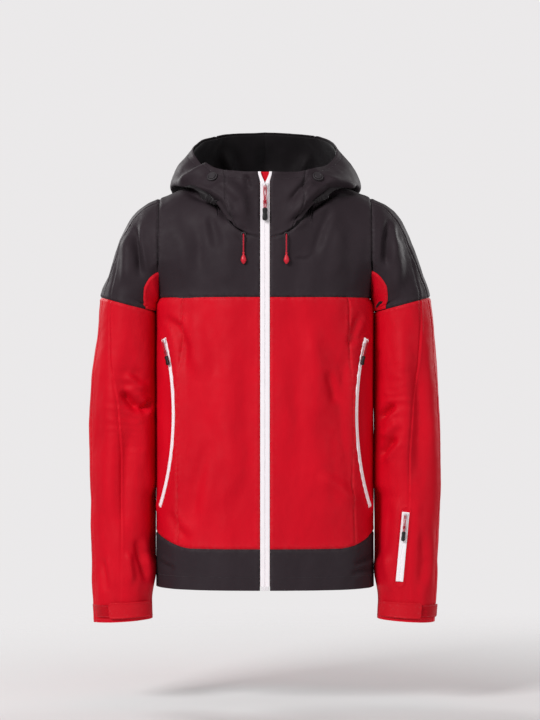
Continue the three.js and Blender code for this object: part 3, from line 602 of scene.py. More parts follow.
def relief(p, n):
    """Height of the fabric's folds and ripples at points with normals, in millimetres."""
    front, back = smooth(0.15, -0.4, n[:, 1]), smooth(-0.15, 0.4, n[:, 1])
    height = 6.4 * noise(p / (84, 84, 190), 1) + 3.8 * noise(p / (36, 36, 76), 2)
    height += 0.6 * noise(p / (12, 12, 18), 3)
    sleeve = sleeve_share(p)
    elbow = np.exp(-(((p[:, 2] - ELBOW_Z) / 62) ** 2))
    wrinkle = 0.45 - np.abs(noise(p / (60, 60, 19), 4)) * 2
    height += sleeve * elbow * 4.2 * wrinkle * smooth(0.7, -0.2, n[:, 0] * np.sign(p[:, 0]))
    cuff = smooth(-560, -700, p[:, 2])
    height += sleeve * cuff * 1.8 * noise(p / (16, 16, 60), 5)
    for folds, facing in ((FRONT_FOLDS, front), (BACK_FOLDS, back)):
        for fold in folds:
            height += FOLD_STRENGTH * fold_height(p, facing, fold)
    for line in FRONT_SEAMS:
        height += fold_height(p, front, (line, *SEAM_GROOVE))
    # Flatter beside the main zip, and where sleeve and body touch.
    calm = np.where(p[:, 1] < -60, smooth(9, 42, np.abs(p[:, 0])), 1)
    gap = np.exp(-(((np.abs(p[:, 0]) - 188) / 8) ** 2)) * smooth(-215, -250, p[:, 2])
    calm = calm * (1 - 0.85 * gap * np.abs(n[:, 0]))
    for point, flat, far in CALM:
        calm = calm * smooth(flat, far, np.linalg.norm(p - point, axis=1))
    return height * calm


# ---- meshes ----
def link(obj):
    bpy.context.scene.collection.objects.link(obj)
    return obj


def make_mesh(name, vertices, faces, materials, face_material=None, sharp=35):
    """A mesh object from millimetre vertices; faces are an array of quads or a list."""
    mesh = bpy.data.meshes.new(name)
    mesh.from_pydata((np.asarray(vertices) * MM).tolist(), [], [list(map(int, f)) for f in faces])
    for material in materials:
        mesh.materials.append(material)
    if face_material is not None:
        mesh.polygons.foreach_set("material_index", np.asarray(face_material, np.int32))
    mesh.polygons.foreach_set("use_smooth", np.ones(len(mesh.polygons), bool))
    mesh.set_sharp_from_angle(angle=math.radians(sharp))
    mesh.update()
    return link(bpy.data.objects.new(name, mesh))


def face_outwards(obj, weld=False):
    """Turns a closed mesh's faces outwards, after merging its doubled points where asked."""
    bm = bmesh.new()
    bm.from_mesh(obj.data)
    if weld:
        bmesh.ops.remove_doubles(bm, verts=bm.verts, dist=1e-6)
    bmesh.ops.recalc_face_normals(bm, faces=bm.faces)
    bm.to_mesh(obj.data)
    bm.free()


def put(obj, body, nodes=()):
    """Rides a piece on a body, or bakes its place into its mesh where body is a tuple, and hides the parts it
    stands for.
    """
    if isinstance(body, tuple):
        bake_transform(obj)
    else:
        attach(obj, body)
    if nodes:
        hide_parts(*nodes)
    return obj


def grid_faces(rows, columns, flip):
    index = np.arange(rows * columns).reshape(rows, columns)
    quads = np.stack([index[:-1, :-1], index[1:, :-1], index[1:, 1:], index[:-1, 1:]], -1).reshape(-1, 4)
    return quads[:, ::-1] if flip else quads


def skin_normals(grid, flip):
    n = np.cross(np.gradient(grid, axis=0), np.gradient(grid, axis=1))
    return unit(-n if flip else n)


def edge_distances(grid):
    """How far each point of a grid is from its low and high edge, along both directions."""
    out = []
    for axis in (0, 1):
        lengths = np.linalg.norm(np.diff(grid, axis=axis), axis=-1)
        start = np.insert(np.cumsum(lengths, axis=axis), 0, 0, axis=axis)
        out += [start, np.take(start, [-1], axis=axis) - start]
    return out


def mirror(grid, side):
    return grid * np.array([side, 1, 1])


class Panel:
    """A sheet of fabric: its outer skin over a grid, a second skin inside it, and closed edges."""

    def __init__(self, name, surface, us, vs, side=1, *, thickness=1.3, lift=0, seams=(1, 1, 1, 1),
                 folds=1, zips=(), hem=0, shape=None):
        self.name, self.flip = name, side < 0
        self.rows, self.columns = len(us), len(vs)
        u, v = (a.ravel() for a in np.meshgrid(us, vs, indexing="ij"))
        grid = mirror(surface(u, v), side).reshape(self.rows, self.columns, 3)
        n = skin_normals(grid, self.flip)
        distances = edge_distances(grid)
        at_seam = np.min([d if on else np.full_like(d, 99) for d, on in zip(distances, seams)], axis=0)
        height = lift + folds * relief(grid.reshape(-1, 3), n.reshape(-1, 3)).reshape(at_seam.shape)
        pucker = noise(grid.reshape(-1, 3) / 7.5, 8).reshape(at_seam.shape)
        height += folds * 0.7 * pucker * np.exp(-at_seam / 9) * smooth(0, 3, at_seam)
        height -= 1.5 * (1 - smooth(0, 3.2, at_seam)) - 0.35 * np.exp(-(((at_seam - 5) / 2.2) ** 2))
        if shape is not None:
            height += shape(distances)
        grid = grid + n * height[..., None]
        for zip_line, half in zips:
            grid = seat_zip(grid.reshape(-1, 3), zip_line, half).reshape(grid.shape)
        self.grid, self.normals = grid, skin_normals(grid, self.flip)
        self.seam, self.distances = at_seam, edge_distances(grid)
        depth = np.full(at_seam.shape, float(thickness))
        if hem:
            depth += 1.1 * (1 - smooth(hem - 1, hem + 1, self.distances[2]))
        self.inner = grid - self.normals * depth[..., None]

    def build(self, materials, body, nodes=()):
        """The mesh, with the last material on its inner skin."""
        size = self.rows * self.columns
        vertices = np.concatenate([self.grid.reshape(-1, 3), self.inner.reshape(-1, 3)])
        outer = grid_faces(self.rows, self.columns, self.flip)
        inner = grid_faces(self.rows, self.columns, not self.flip) + size
        index = np.arange(size).reshape(self.rows, self.columns)
        loops = [(index[:, 0], True), (index[:, -1], False), (index[0], False), (index[-1], True)]
        rims = []
        for loop, turned in loops:
            quads = np.stack([loop[:-1], loop[1:], loop[1:] + size, loop[:-1] + size], 1)
            rims.append(quads[:, ::-1] if turned != self.flip else quads)
        faces = np.concatenate([outer, inner, *rims])
        inside = np.zeros(len(faces), int)
        inside[len(outer):len(outer) + len(inner)] = len(materials) - 1
        obj = make_mesh(self.name, vertices, faces, materials, inside)
        wear = np.tile(np.exp(-self.seam.ravel() / 5), 2)
        attribute = obj.data.attributes.new("wear", "FLOAT", "POINT")
        attribute.data.foreach_set("value", wear.astype(np.float32))
        put(obj, body, nodes)

    def line(self, edge, away):
        """Points and normals of the outer skin along a line that keeps its distance from an edge.
        Edges are 0 and 1, the first and last row, and 2 and 3, the first and last column."""
        grid, n, d = self.grid, self.normals, self.distances[edge]
        if edge < 2:
            grid, n, d = grid.swapaxes(0, 1), n.swapaxes(0, 1), d.T
        out = []
        for points_row, n_row, d_row in zip(grid, n, d):
            order = np.argsort(d_row)
            out.append([[np.interp(away, d_row[order], a[order, i]) for i in range(3)]
                        for a in (points_row, n_row)])
        out = np.array(out)
        return out[:, 0], unit(out[:, 1])


def resample(path, spacing):
    lengths = np.insert(np.cumsum(np.linalg.norm(np.diff(path, axis=0), axis=1)), 0, 0)
    at = np.arange(spacing / 2, lengths[-1], spacing)
    return np.stack([np.interp(at, lengths, path[:, i]) for i in range(3)], 1), at, lengths


def stitch_mesh(name, lines, thread, body, length=2.5, pitch=3.3, radius=0.38):
    """Stitches lying along lines of points and normals, as one mesh of small rounded threads."""
    rings = np.array([(-0.5, 0.15), (-0.36, 0.85), (0, 1), (0.36, 0.85), (0.5, 0.15)])
    around = 6
    sides = np.linspace(0, 2 * np.pi, around, endpoint=False)
    vertices, faces = [], []
    for path, normals in lines:
        centres, at, lengths = resample(path, pitch)
        up = unit(np.stack([np.interp(at, lengths, normals[:, i]) for i in range(3)], 1))
        way = unit(np.gradient(centres, axis=0))
        across = unit(np.cross(up, way))
        for c, u, w, a in zip(centres, up, way, across):
            base = len(vertices)
            for along, size in rings:
                for turn in sides:
                    side, rise = math.cos(turn) * radius * size, math.sin(turn) * radius * size * 0.8
                    vertices.append(c + w * along * length + a * side + u * (rise + 0.12))
            last = base + (len(rings) - 1) * around
            for low in range(base, last, around):
                for s in range(around):
                    t = (s + 1) % around
                    faces.append((low + s, low + t, low + around + t, low + around + s))
            faces.append(tuple(base + s for s in reversed(range(around))))
            faces.append(tuple(last + s for s in range(around)))
    obj = make_mesh(name, vertices, faces, [thread], sharp=80)
    return put(obj, body)


def loft(sections, close=True):
    """Vertices and faces through rings of points of the same count, with capped ends."""
    sections = np.asarray(sections, float)
    count, around = sections.shape[:2]
    faces = []
    for i in range(count - 1):
        for j in range(around):
            k = (j + 1) % around
            faces.append((i * around + j, i * around + k, (i + 1) * around + k, (i + 1) * around + j))
    if close:
        faces.append(tuple(reversed(range(around))))
        faces.append(tuple((count - 1) * around + j for j in range(around)))
    return sections.reshape(-1, 3), faces


def ring_section(half_width, half_depth, power, height, count=28):
    """A rounded-rectangle ring in X and Y at a height."""
    turn = np.linspace(0, 2 * np.pi, count, endpoint=False)
    cos, sin = np.cos(turn), np.sin(turn)
    x = half_width * np.sign(cos) * np.abs(cos) ** (2 / power)
    y = half_depth * np.sign(sin) * np.abs(sin) ** (2 / power)
    return points(x, y, height)


def tube(path, radius, closed=False, sides=12):
    """Vertices and faces of a round tube along a smooth path of points."""
    path = np.asarray(path, float)
    ends = (np.roll(path, -1, 0) - np.roll(path, 1, 0)) if closed else np.gradient(path, axis=0)
    way = unit(ends)
    up = unit(np.cross(way[0], (0.3, 0.9, 0.2)))
    sections = []
    turn = np.linspace(0, 2 * np.pi, sides, endpoint=False)
    for point, w in zip(path, way):
        up = unit(up - w * np.dot(up, w))
        side = np.cross(w, up)
        sections.append(point + radius * (np.cos(turn)[:, None] * up + np.sin(turn)[:, None] * side))
    if closed:
        vertices, faces = loft(sections, close=False)
        last = (len(path) - 1) * sides
        shift = int(np.argmin(np.linalg.norm(sections[0] - sections[-1][0], axis=1)))
        faces += [(last + j, last + (j + 1) % sides, (j + 1 + shift) % sides, (j + shift) % sides)
                  for j in range(sides)]
        return vertices, faces
    return loft(sections)


def curve_through(control, count, closed=False):
    control = np.asarray(control, float)
    if closed:
        padded = np.concatenate([control[-2:], control, control[:3]])
        return through(padded, np.linspace(2, 2 + len(control), count, endpoint=False))
    return through(control, np.linspace(0, len(control) - 1, count))


def bevelled_plate(outline, from_y, to_y, bevel, segments=3):
    """Vertices and faces of a flat outline in X and Z, extruded along Y, with rounded edges."""
    bm = bmesh.new()
    low = [bm.verts.new((x, from_y, z)) for x, z in outline]
    high = [bm.verts.new((x, to_y, z)) for x, z in outline]
    bm.faces.new(low)
    bm.faces.new(list(reversed(high)))
    count = len(outline)
    for i in range(count):
        j = (i + 1) % count
        bm.faces.new((low[j], low[i], high[i], high[j]))
    bmesh.ops.recalc_face_normals(bm, faces=bm.faces)
    flat = [e for e in bm.edges if abs(e.verts[0].co.y - e.verts[1].co.y) < 1e-6]
    bmesh.ops.bevel(bm, geom=flat, offset=bevel, segments=segments, profile=0.5, affect="EDGES")
    bm.verts.index_update()
    vertices = np.array([v.co[:] for v in bm.verts])
    faces = [[v.index for v in f.verts] for f in bm.faces]
    bm.free()
    return vertices, faces


def rounded_outline(width, low, high, radius, count=7):
    half = width / 2
    corners = [(half - radius, low + radius, -90), (half - radius, high - radius, 0),
               (-half + radius, high - radius, 90), (-half + radius, low + radius, 180)]
    out = []
    for x, z, start in corners:
        for turn in np.radians(np.linspace(start, start + 90, count)):
            out.append((x + radius * math.cos(turn), z + radius * math.sin(turn)))
    return out


def combine(*parts):
    vertices, faces, start = [], [], 0
    for part_vertices, part_faces in parts:
        vertices.append(np.asarray(part_vertices, float))
        faces += [[i + start for i in f] for f in part_faces]
        start += len(part_vertices)
    return np.concatenate(vertices), faces


# ---- materials ----
def srgb(r, g, b):
    """A colour given as 0 to 255, in linear light."""
    values = np.array([r, g, b]) / 255
    linear = np.where(values <= 0.04045, values / 12.92, ((values + 0.055) / 1.055) ** 2.4)
    return (*linear.tolist(), 1)


class Look:
    """A node material whose colour, roughness and bump are built step by step."""

    def __init__(self, name, roughness, sheen=0.0, specular=0.5, coat=0.0):
        self.material = bpy.data.materials.new(name)
        self.material.use_nodes = True
        self.nodes, self.links = self.material.node_tree.nodes, self.material.node_tree.links
        self.shader = self.nodes["Principled BSDF"]
        for socket, value in (("Roughness", roughness), ("Sheen Weight", sheen),
                              ("Specular IOR Level", specular), ("Coat Weight", coat)):
            self.shader.inputs[socket].default_value = value
        self.shader.inputs["Sheen Roughness"].default_value = 0.4
        self.shader.inputs["Coat Roughness"].default_value = 0.25
        self.place = self.nodes.new("ShaderNodeTexCoord").outputs["Object"]
        self.bump = None

    def node(self, kind, inputs, **settings):
        node = self.nodes.new(kind)
        for key, value in settings.items():
            setattr(node, key, value)
        for key, value in inputs.items():
            if hasattr(value, "is_linked"):
                self.links.new(value, node.inputs[key])
            else:
                node.inputs[key].default_value = value
        return node

    def noise(self, scale, detail=2.0, stretch=(1, 1, 1)):
        place = self.node("ShaderNodeMapping", {"Vector": self.place, "Scale": stretch}).outputs[0]
        inputs = {"Vector": place, "Scale": scale, "Detail": detail}
        return self.node("ShaderNodeTexNoise", inputs).outputs["Fac"]

    def math(self, operation, a, b=0.5):
        return self.node("ShaderNodeMath", {0: a, 1: b}, operation=operation).outputs[0]

    def ramp(self, value, low, high, out_low=0.0, out_high=1.0):
        inputs = {"Value": value, "From Min": low, "From Max": high, "To Min": out_low, "To Max": out_high}
        return self.node("ShaderNodeMapRange", inputs).outputs[0]

    def mix(self, share, a, b):
        node = self.node("ShaderNodeMix", {}, data_type="RGBA")
        for index, value in ((0, share), (6, a), (7, b)):
            if hasattr(value, "is_linked"):
                self.links.new(value, node.inputs[index])
            else:
                node.inputs[index].default_value = value
        return node.outputs[2]

    def colour(self, value):
        self.links.new(value, self.shader.inputs["Base Color"])

    def roughness(self, value):
        self.links.new(value, self.shader.inputs["Roughness"])

    def raise_by(self, height, distance, strength=1.0):
        """Adds a bump on top of those before it; distance is in metres."""
        inputs = {"Height": height, "Distance": distance, "Strength": strength}
        if self.bump is not None:
            inputs["Normal"] = self.bump
        self.bump = self.node("ShaderNodeBump", inputs).outputs[0]
        self.links.new(self.bump, self.shader.inputs["Normal"])

    def bands(self, direction, period, turn=0.0):
        """Fine ridges with a period in metres along one axis."""
        turned = self.node("ShaderNodeMapping", {"Vector": self.place, "Rotation": (turn, turn, turn)})
        inputs = {"Vector": turned.outputs[0], "Scale": 2 * math.pi / period / 20, "Distortion": 0.6,
                  "Detail": 1.0, "Detail Scale": 3.0}
        return self.node("ShaderNodeTexWave", inputs, bands_direction=direction).outputs["Fac"]


def shade(colour, factor):
    return (*(c * factor for c in colour[:3]), 1)


def faded(colour, grey, share):
    """A colour moved by a share of the way towards a grey."""
    return (*(lerp(c, grey, share) for c in colour[:3]), 1)


def fabric(name, colour, *, rough=0.62, period=0.0011, weave=0.00006, sheen=0.12, specular=0.35, wear=0.07):
    """Woven shell fabric: a fine twill, cloudy colour, and paler rubbed edges along the seams."""
    look = Look(name, rough, sheen=sheen, specular=specular)
    cloud = look.ramp(look.noise(22, 3, (1, 1, 0.5)), 0.3, 0.7)
    base = look.mix(cloud, shade(colour, 0.93), shade(colour, 1.06))
    grain = look.ramp(look.noise(1400, 2), 0.3, 0.75)
    base = look.mix(look.math("MULTIPLY", grain, 0.22), base, shade(colour, 1.35))
    rub = look.node("ShaderNodeAttribute", {}, attribute_name="wear").outputs["Fac"]
    rubbed = look.math("MULTIPLY", rub, look.ramp(look.noise(160, 4), 0.35, 0.7, 0, wear * 2))
    look.colour(look.mix(rubbed, base, faded(colour, 0.5, 0.25)))
    look.roughness(look.ramp(look.noise(60, 3), 0.3, 0.7, rough - 0.06, rough + 0.07))
    twill = look.math("MULTIPLY", look.bands("X", period, 0.4), look.bands("Z", period, 0.4))
    look.raise_by(look.noise(90, 3), 0.0006, 0.35)
    look.raise_by(twill, weave)
    return look.material


def lining_fabric(name, colour):
    """Smooth backing with fine ribs."""
    look = Look(name, 0.6, sheen=0.1, specular=0.3)
    cloud = look.ramp(look.noise(30, 2), 0.3, 0.7)
    look.colour(look.mix(cloud, shade(colour, 0.9), shade(colour, 1.05)))
    look.raise_by(look.bands("Z", 0.0016), 0.00012)
    look.raise_by(look.noise(140, 3), 0.0003, 0.4)
    return look.material


def moulded(name, colour, rough=0.5, grain=500, depth=0.00006, specular=0.45):
    """Moulded rubber or plastic with a fine spark-eroded grain and paler scuffs."""
    look = Look(name, rough, specular=specular)
    scuff = look.ramp(look.noise(180, 5), 0.58, 0.78, 0, 0.16)
    look.colour(look.mix(scuff, colour, faded(colour, 0.45, 0.3)))
    look.roughness(look.ramp(look.noise(220, 3), 0.3, 0.7, rough - 0.08, rough + 0.1))
    look.raise_by(look.noise(grain, 2), depth)
    return look.material


def coated_tape(name, colour):
    """Smooth coated zip tape, with faint woven ribs under the film."""
    look = Look(name, 0.42, specular=0.5, coat=0.15)
    stain = look.ramp(look.noise(70, 4), 0.4, 0.75)
    look.colour(look.mix(look.math("MULTIPLY", stain, 0.35), colour, shade(colour, 0.9)))
    look.roughness(look.ramp(look.noise(130, 2), 0.3, 0.7, 0.36, 0.5))
    look.raise_by(look.bands("Z", 0.0012), 0.00005)
    return look.material


def braid(name, colour):
    """Braided cord: two sets of crossing strands."""
    look = Look(name, 0.6, sheen=0.15, specular=0.35)
    crossed = look.math("MULTIPLY", look.bands("X", 0.0011, 0.7), look.bands("Z", 0.0014, -0.6))
    look.colour(look.mix(crossed, shade(colour, 0.7), shade(colour, 1.15)))
    look.raise_by(crossed, 0.00025)
    return look.material


def loop_pile(name, colour):
    """The fuzzy loops of a hook-and-loop patch."""
    look = Look(name, 0.85, sheen=0.12, specular=0.1)
    cells = look.node("ShaderNodeTexVoronoi", {"Vector": look.place, "Scale": 900.0}).outputs["Distance"]
    look.colour(look.mix(cells, shade(colour, 0.65), shade(colour, 1.2)))
    look.raise_by(cells, 0.0004)
    look.raise_by(look.noise(1200, 3), 0.0003)
    return look.material


CHARCOAL = fabric("charcoal_fabric", srgb(45, 36, 41), rough=0.66, sheen=0.02, specular=0.16)
RED = fabric("red_fabric", srgb(205, 2, 29), rough=0.6, sheen=0.0, specular=0.14)
# Dark inner skin of the charcoal cloth, darker than the shell; inside the hood this darkness is painted
# shade.
HOOD_INSIDE = lining_fabric("dark_backing_painted_shade", srgb(27, 22, 25))
PALE_LINING = lining_fabric("pale_lining", srgb(196, 199, 203))
WHITE_TAPE = coated_tape("white_zip_tape", srgb(253, 247, 251))
WHITE_METAL = moulded("white_slider_enamel", srgb(236, 232, 235), rough=0.34, grain=900, depth=0.00002)
RED_CORD = braid("red_cord", srgb(200, 18, 48))
RED_RUBBER = moulded("red_rubber", srgb(204, 22, 44), rough=0.42)
RED_TAB = moulded("red_tab_rubber", srgb(202, 4, 28), rough=0.6, grain=700, specular=0.2)
BLACK_RUBBER = moulded("black_rubber", srgb(16, 15, 16), rough=0.5)
TONAL_RUBBER = moulded("charcoal_rubber", srgb(46, 40, 44), rough=0.52)
RED_PILE = loop_pile("red_loop_patch", srgb(190, 8, 28))
DARK_THREAD = braid("charcoal_thread", srgb(52, 44, 50))
RED_THREAD = braid("red_thread", srgb(214, 30, 52))
RED_CLOTH = [RED, PALE_LINING]  # the outer skin's material, then the inner skin's
CHARCOAL_CLOTH = [CHARCOAL, HOOD_INSIDE]


# ---- body panels ----
def body_surface(bottom, top):
    """The body's sides are full from just under the armholes to the hem."""
    def surface(angle, g):
        z = lerp(bottom(angle), top(angle), g)
        point = body_at(beside_zip(angle, z), z)
        full = (HEM_HALF + 0.4) / lerp(ARMHOLE_X, HEM_HALF, lower(z)) - 1
        point[:, 0] *= 1 + full * smooth(YOKE_Z - 1, YOKE_Z - 13, z) * np.sin(np.radians(angle)) ** 4
        return point
    return surface


def above_band(angle):
    return band_top(angle) + GAP


def hem_line(angle):
    return HEM_Z + 0 * angle


def yoke_line(angle):
    return YOKE_Z - GAP + 0 * angle


def make_body():
    upper, band = body_surface(above_band, yoke_line), body_surface(hem_line, band_top)
    for side, sign in SIDES.items():
        seat = [(POCKET_ARC[side], POCKET_WIDTH / 2)]
        front = Panel(f"front_panel_{side}_fabric", upper, steps(FIRST, SIDE_SEAM, 66), steps(0, 1, 130),
                      sign, zips=seat)
        front.build(RED_CLOTH, "shell", [f"front_panel_{side}"])
        flank = Panel(f"side_panel_{side}_fabric", upper, steps(SIDE_SEAM, BACK_SEAM, 52), steps(0, 1, 130),
                      sign, zips=seat)
        flank.build(RED_CLOTH, "shell", [f"side_panel_{side}"])
        low = Panel(f"hem_band_front_{side}_fabric", band, steps(FIRST, 90, 88), steps(0, 1, 30), sign,
                    seams=(1, 1, 0, 1), hem=HEM_FOLD["hem"])
        low.build(CHARCOAL_CLOTH, "shell", [f"hem_band_front_{side}"])
        stitch_mesh(f"hem_stitches_front_{side}", [low.line(2, STITCH_INSET["hem"])], DARK_THREAD, "shell")
    back = Panel("back_panel_fabric", upper, steps(BACK_SEAM, 360 - BACK_SEAM, 100), steps(0, 1, 130))
    back.build(RED_CLOTH, "shell", ["back_panel"])
    low = Panel("hem_band_back_fabric", band, steps(90, 270, 150), steps(0, 1, 30), seams=(1, 1, 0, 1),
                hem=HEM_FOLD["hem"])
    low.build(CHARCOAL_CLOTH, "shell", ["hem_band_back"])
    stitch_mesh("hem_stitches_back", [low.line(2, STITCH_INSET["hem"])], DARK_THREAD, "shell")


def make_yoke():
    for side, sign in SIDES.items():
        front = Panel(f"front_yoke_{side}_fabric", lambda x, v: yoke_at(x, v, True),
                      steps(ZIP_TAPE + GAP, ARMHOLE_X, 66), steps(0, 1, 80), sign)
        front.build(CHARCOAL_CLOTH, "shell", [f"front_yoke_{side}"])
    back = Panel("back_yoke_fabric", lambda x, v: yoke_at(-x, v, False), steps(-ARMHOLE_X, ARMHOLE_X, 120),
                 steps(0, 1, 80))
    back.build(CHARCOAL_CLOTH, "shell", ["back_yoke"])


# ---- hood ----
def rolled_rim(distances):
    """A fuller roll along the hood's free edge."""
    return 1.0 * np.exp(-(((distances[3] - 3) / 4) ** 2)) - 0.5 * np.exp(-(((distances[3] - 13) / 1.2) ** 2))


def make_hood():
    rise, row = steps(0, 1, 110), STITCH_INSET["rim"]
    for side, sign in SIDES.items():
        collar = Panel(f"collar_{side}_fabric", collar_at, steps(0, COLLAR_SEAM, 30), rise, sign,
                       seams=(1, 1, 1, 0), shape=rolled_rim)
        collar.build(CHARCOAL_CLOTH, "shell", [f"collar_{side}"])
        panel = Panel(f"hood_side_{side}_fabric", hood_at, steps(COLLAR_SEAM, HOOD_SEAM, 90), rise, sign,
                      seams=(1, 1, 1, 0), shape=rolled_rim)
        panel.build(CHARCOAL_CLOTH, "shell", [f"hood_side_{side}"])
        stitch_mesh(f"hood_stitches_{side}", [collar.line(3, row), panel.line(3, row)], DARK_THREAD, "shell")
    back = Panel("hood_back_fabric", hood_at, steps(HOOD_SEAM, 360 - HOOD_SEAM, 90), rise,
                 seams=(1, 1, 1, 0), shape=rolled_rim)
    back.build(CHARCOAL_CLOTH, "shell", ["hood_back"])
    stitch_mesh("hood_stitches_back", [back.line(3, row)], DARK_THREAD, "shell")
    around = steps(LINING_START, 360 - LINING_START, 150)
    # The lining is pale; the facing above it takes the dark backing as painted shade over the upper inside of
    # the hood.
    for part, material in (("lining", PALE_LINING), ("facing", HOOD_INSIDE)):
        inside = Panel(f"hood_{part}_fabric", hood_at, around, steps(*HOOD_INSIDE_EDGES[part], 20),
                       thickness=0.9, lift=-3.6, seams=(0, 0, part == "facing", 0))
        inside.build([material], "shell", ["hood_lining"] if part == "lining" else [])


# ---- sleeves ----
def shoulder_blend(side):
    """From the armhole seam, which stays on the body, to just above the elbow's bend."""
    sign, tilt, length = SIDES[side], math.radians(SHOULDER_BLEND["tilt"]), SHOULDER_BLEND["length"] * MM
    start = (ARMHOLE_X + SHOULDER_BLEND["outside"]) * MM * sign, 0, YOKE_Z * MM
    end = start[0] + length * math.cos(tilt) * sign, 0, start[2] - length * math.sin(tilt)
    return "shell", f"sleeve_{side}", start, end


def elbow_blend(side):
    start, end = ((ELBOW_BLEND["x"] * MM * SIDES[side], 0, ELBOW_BLEND[key] * MM) for key in ("from", "to"))
    return f"sleeve_{side}", f"forearm_{side}", start, end


OUTER_SEAM = 64  # angle where the sleeve's front and back pieces meet
UNDER_SEAM = -90
ARM_SPLIT = 7.1  # station between the shoulder's bend and the elbow's


def make_sleeves():
    for side, sign in SIDES.items():
        top = steps(SHOULDER_END - 0.01, 0.05, 80)
        middle = steps(ARM_SPLIT, SHOULDER_END, 60)
        bottom = steps(CUFF_STATION, ARM_SPLIT, 160)
        for part, start, end in (("front", UNDER_SEAM, OUTER_SEAM), ("back", OUTER_SEAM, UNDER_SEAM + 360)):
            turn = steps(start, end, 104 if part == "front" else 64)
            under, outer = (0, 1) if part == "front" else (1, 0)
            shoulder = Panel(f"shoulder_{part}_{side}_fabric", sleeve_at, turn, top, sign)
            shoulder.build(CHARCOAL_CLOTH, shoulder_blend(side),
                           [f"shoulder_{side}"] if part == "front" else [])
            upper = Panel(f"upper_arm_{part}_{side}_fabric", sleeve_at, turn, middle, sign,
                          seams=(under, outer, 0, 1))
            upper.build(RED_CLOTH, shoulder_blend(side),
                        [f"upper_arm_{side}"] if part == "front" else [])
            zips = [(FOREARM_LINE, FOREARM_ZIP_WIDTH / 2)] if side == "left" else []
            forearm = Panel(f"forearm_{part}_{side}_fabric", sleeve_at, turn, bottom, sign,
                            seams=(under, outer, 0, 0), zips=zips, hem=HEM_FOLD["cuff"])
            forearm.build(RED_CLOTH, elbow_blend(side), [f"forearm_{part}_{side}"])
            stitch_mesh(f"cuff_stitches_{part}_{side}", [forearm.line(2, STITCH_INSET["cuff"])], RED_THREAD,
                        f"forearm_{side}")


# Upper edge of the red underarm piece on the shoulder: stations, and shares across the sleeve.
GUSSET_EDGE = [(0.05, 0.27), (3.3, 0.29), (5.98, 0.18)]


def make_gussets():
    stations, shares = np.array(GUSSET_EDGE).T

    def surface(u, k):
        across = lerp(0.012, np.interp(k, stations, shares), u)
        return sleeve_at(np.degrees(np.arcsin(2 * across - 1)), k)

    for side, sign in SIDES.items():
        piece = Panel(f"gusset_{side}_fabric", surface, steps(0, 1, 60), steps(stations[-1], stations[0], 60),
                      sign, thickness=0.6, lift=2.6)
        piece.build([RED], shoulder_blend(side))


def make_cuffs():
    middle = cuff_station(CUFF_EDGE + CUFF_TAB["height"] / 2)
    per_mm = cuff_station(0) - cuff_station(1)

    def strap(start, end, height, radius):
        length = STRAP_PER_DEGREE * (end - start)

        def surface(u, v):
            from_end = (end - u) / (end - start) * length
            corner = np.clip(1 - from_end / radius, 0, 1)
            half = height / 2 - radius * (1 - np.sqrt(1 - corner**2))
            return sleeve_at(u, middle - per_mm * half * (2 * v - 1))
        return surface

    for side, sign in SIDES.items():
        patch = Panel(f"cuff_patch_{side}_pile", strap(CUFF_PATCH["from"], CUFF_PATCH["to"],
                      CUFF_PATCH["height"], 3), steps(CUFF_PATCH["from"], CUFF_PATCH["to"], 70),
                      steps(0, 1, 12), sign, thickness=1.1, lift=1.5, folds=0, seams=(0, 0, 0, 0))
        patch.build([RED_PILE], f"forearm_{side}", [f"cuff_patch_{side}"])
        border = [patch.line(edge, STITCH_INSET["patch"]) for edge in (2, 3, 1)]
        stitch_mesh(f"patch_stitches_{side}", border, RED_THREAD, f"forearm_{side}")

        def raised_border(distances):
            edge = np.min([distances[1], distances[2], distances[3]], axis=0)
            return -0.8 * (1 - smooth(0, 0.9, edge)) - 0.45 * smooth(2.2, 3.2, edge)

        tab = Panel(f"cuff_tab_{side}_moulding", strap(CUFF_TAB["from"], CUFF_TAB["to"], CUFF_TAB["height"],
                    7), steps(CUFF_TAB["from"], CUFF_TAB["to"], 90), steps(0, 1, 36), sign, thickness=1.9,
                    lift=4.4, folds=0, seams=(0, 0, 0, 0), shape=raised_border)
        tab.build([RED_TAB], f"cuff_tab_{side}", [f"cuff_tab_{side}"])


# ---- zips ----
def front_line(x, out, z):
    """A point beside the centre front: x across, out of the garment, at a height."""
    return points(x, -front_depth(z) - out, z)


def make_main_zip():
    heights = np.concatenate([np.linspace(ZIP_BOTTOM + GAP, -24, 120), np.linspace(-22, COLLAR_TOP, 24)])
    for side, sign in SIDES.items():
        sections = []
        for z in heights:
            open_by = 7 * smooth(-15, COLLAR_TOP, z) ** 0.85
            wide = 7.85 + parting(z)
            across = np.array([0.12, 0.35, 0.9, 3, 5.5, 7.2, 7.85, 7.85, 7.2, 4, 1.2, 0.12])
            out = np.array([-0.5, -0.1, 0.0, -0.12, -0.05, -0.1, -0.6, -1.5, -1.9, -1.95, -1.95, -1.7])
            across = across * (wide - open_by) / 7.85 + open_by
            ring = front_line(across * sign, out, z + 0 * across)
            sections.append(ring[::-1] if sign > 0 else ring)
        vertices, faces = loft(sections)
        obj = make_mesh(f"main_zip_tape_{side}_coated", vertices, faces, [WHITE_TAPE], sharp=50)
        put(obj, "shell", [f"main_zip_tape_{side}"])
    make_zip_stop()
    make_storm_flap()


def make_zip_stop():
    """The box at the main zip's lower end, with its pin."""
    box = bevelled_plate(rounded_outline(STOP_WIDTH, HEM_Z, ZIP_BOTTOM, 1.6), -1, 2, 0.5)
    pin = bevelled_plate(rounded_outline(1.0, HEM_Z + 1.2, ZIP_BOTTOM - 0.8, 0.4), -1.25, -0.9, 0.1)
    vertices, faces = combine(box, pin)
    vertices[:, 1] += -front_depth(vertices[:, 2])
    obj = make_mesh("main_zip_stop_moulding", vertices, faces, [WHITE_METAL])
    put(obj, "shell", ["main_zip_stop"])


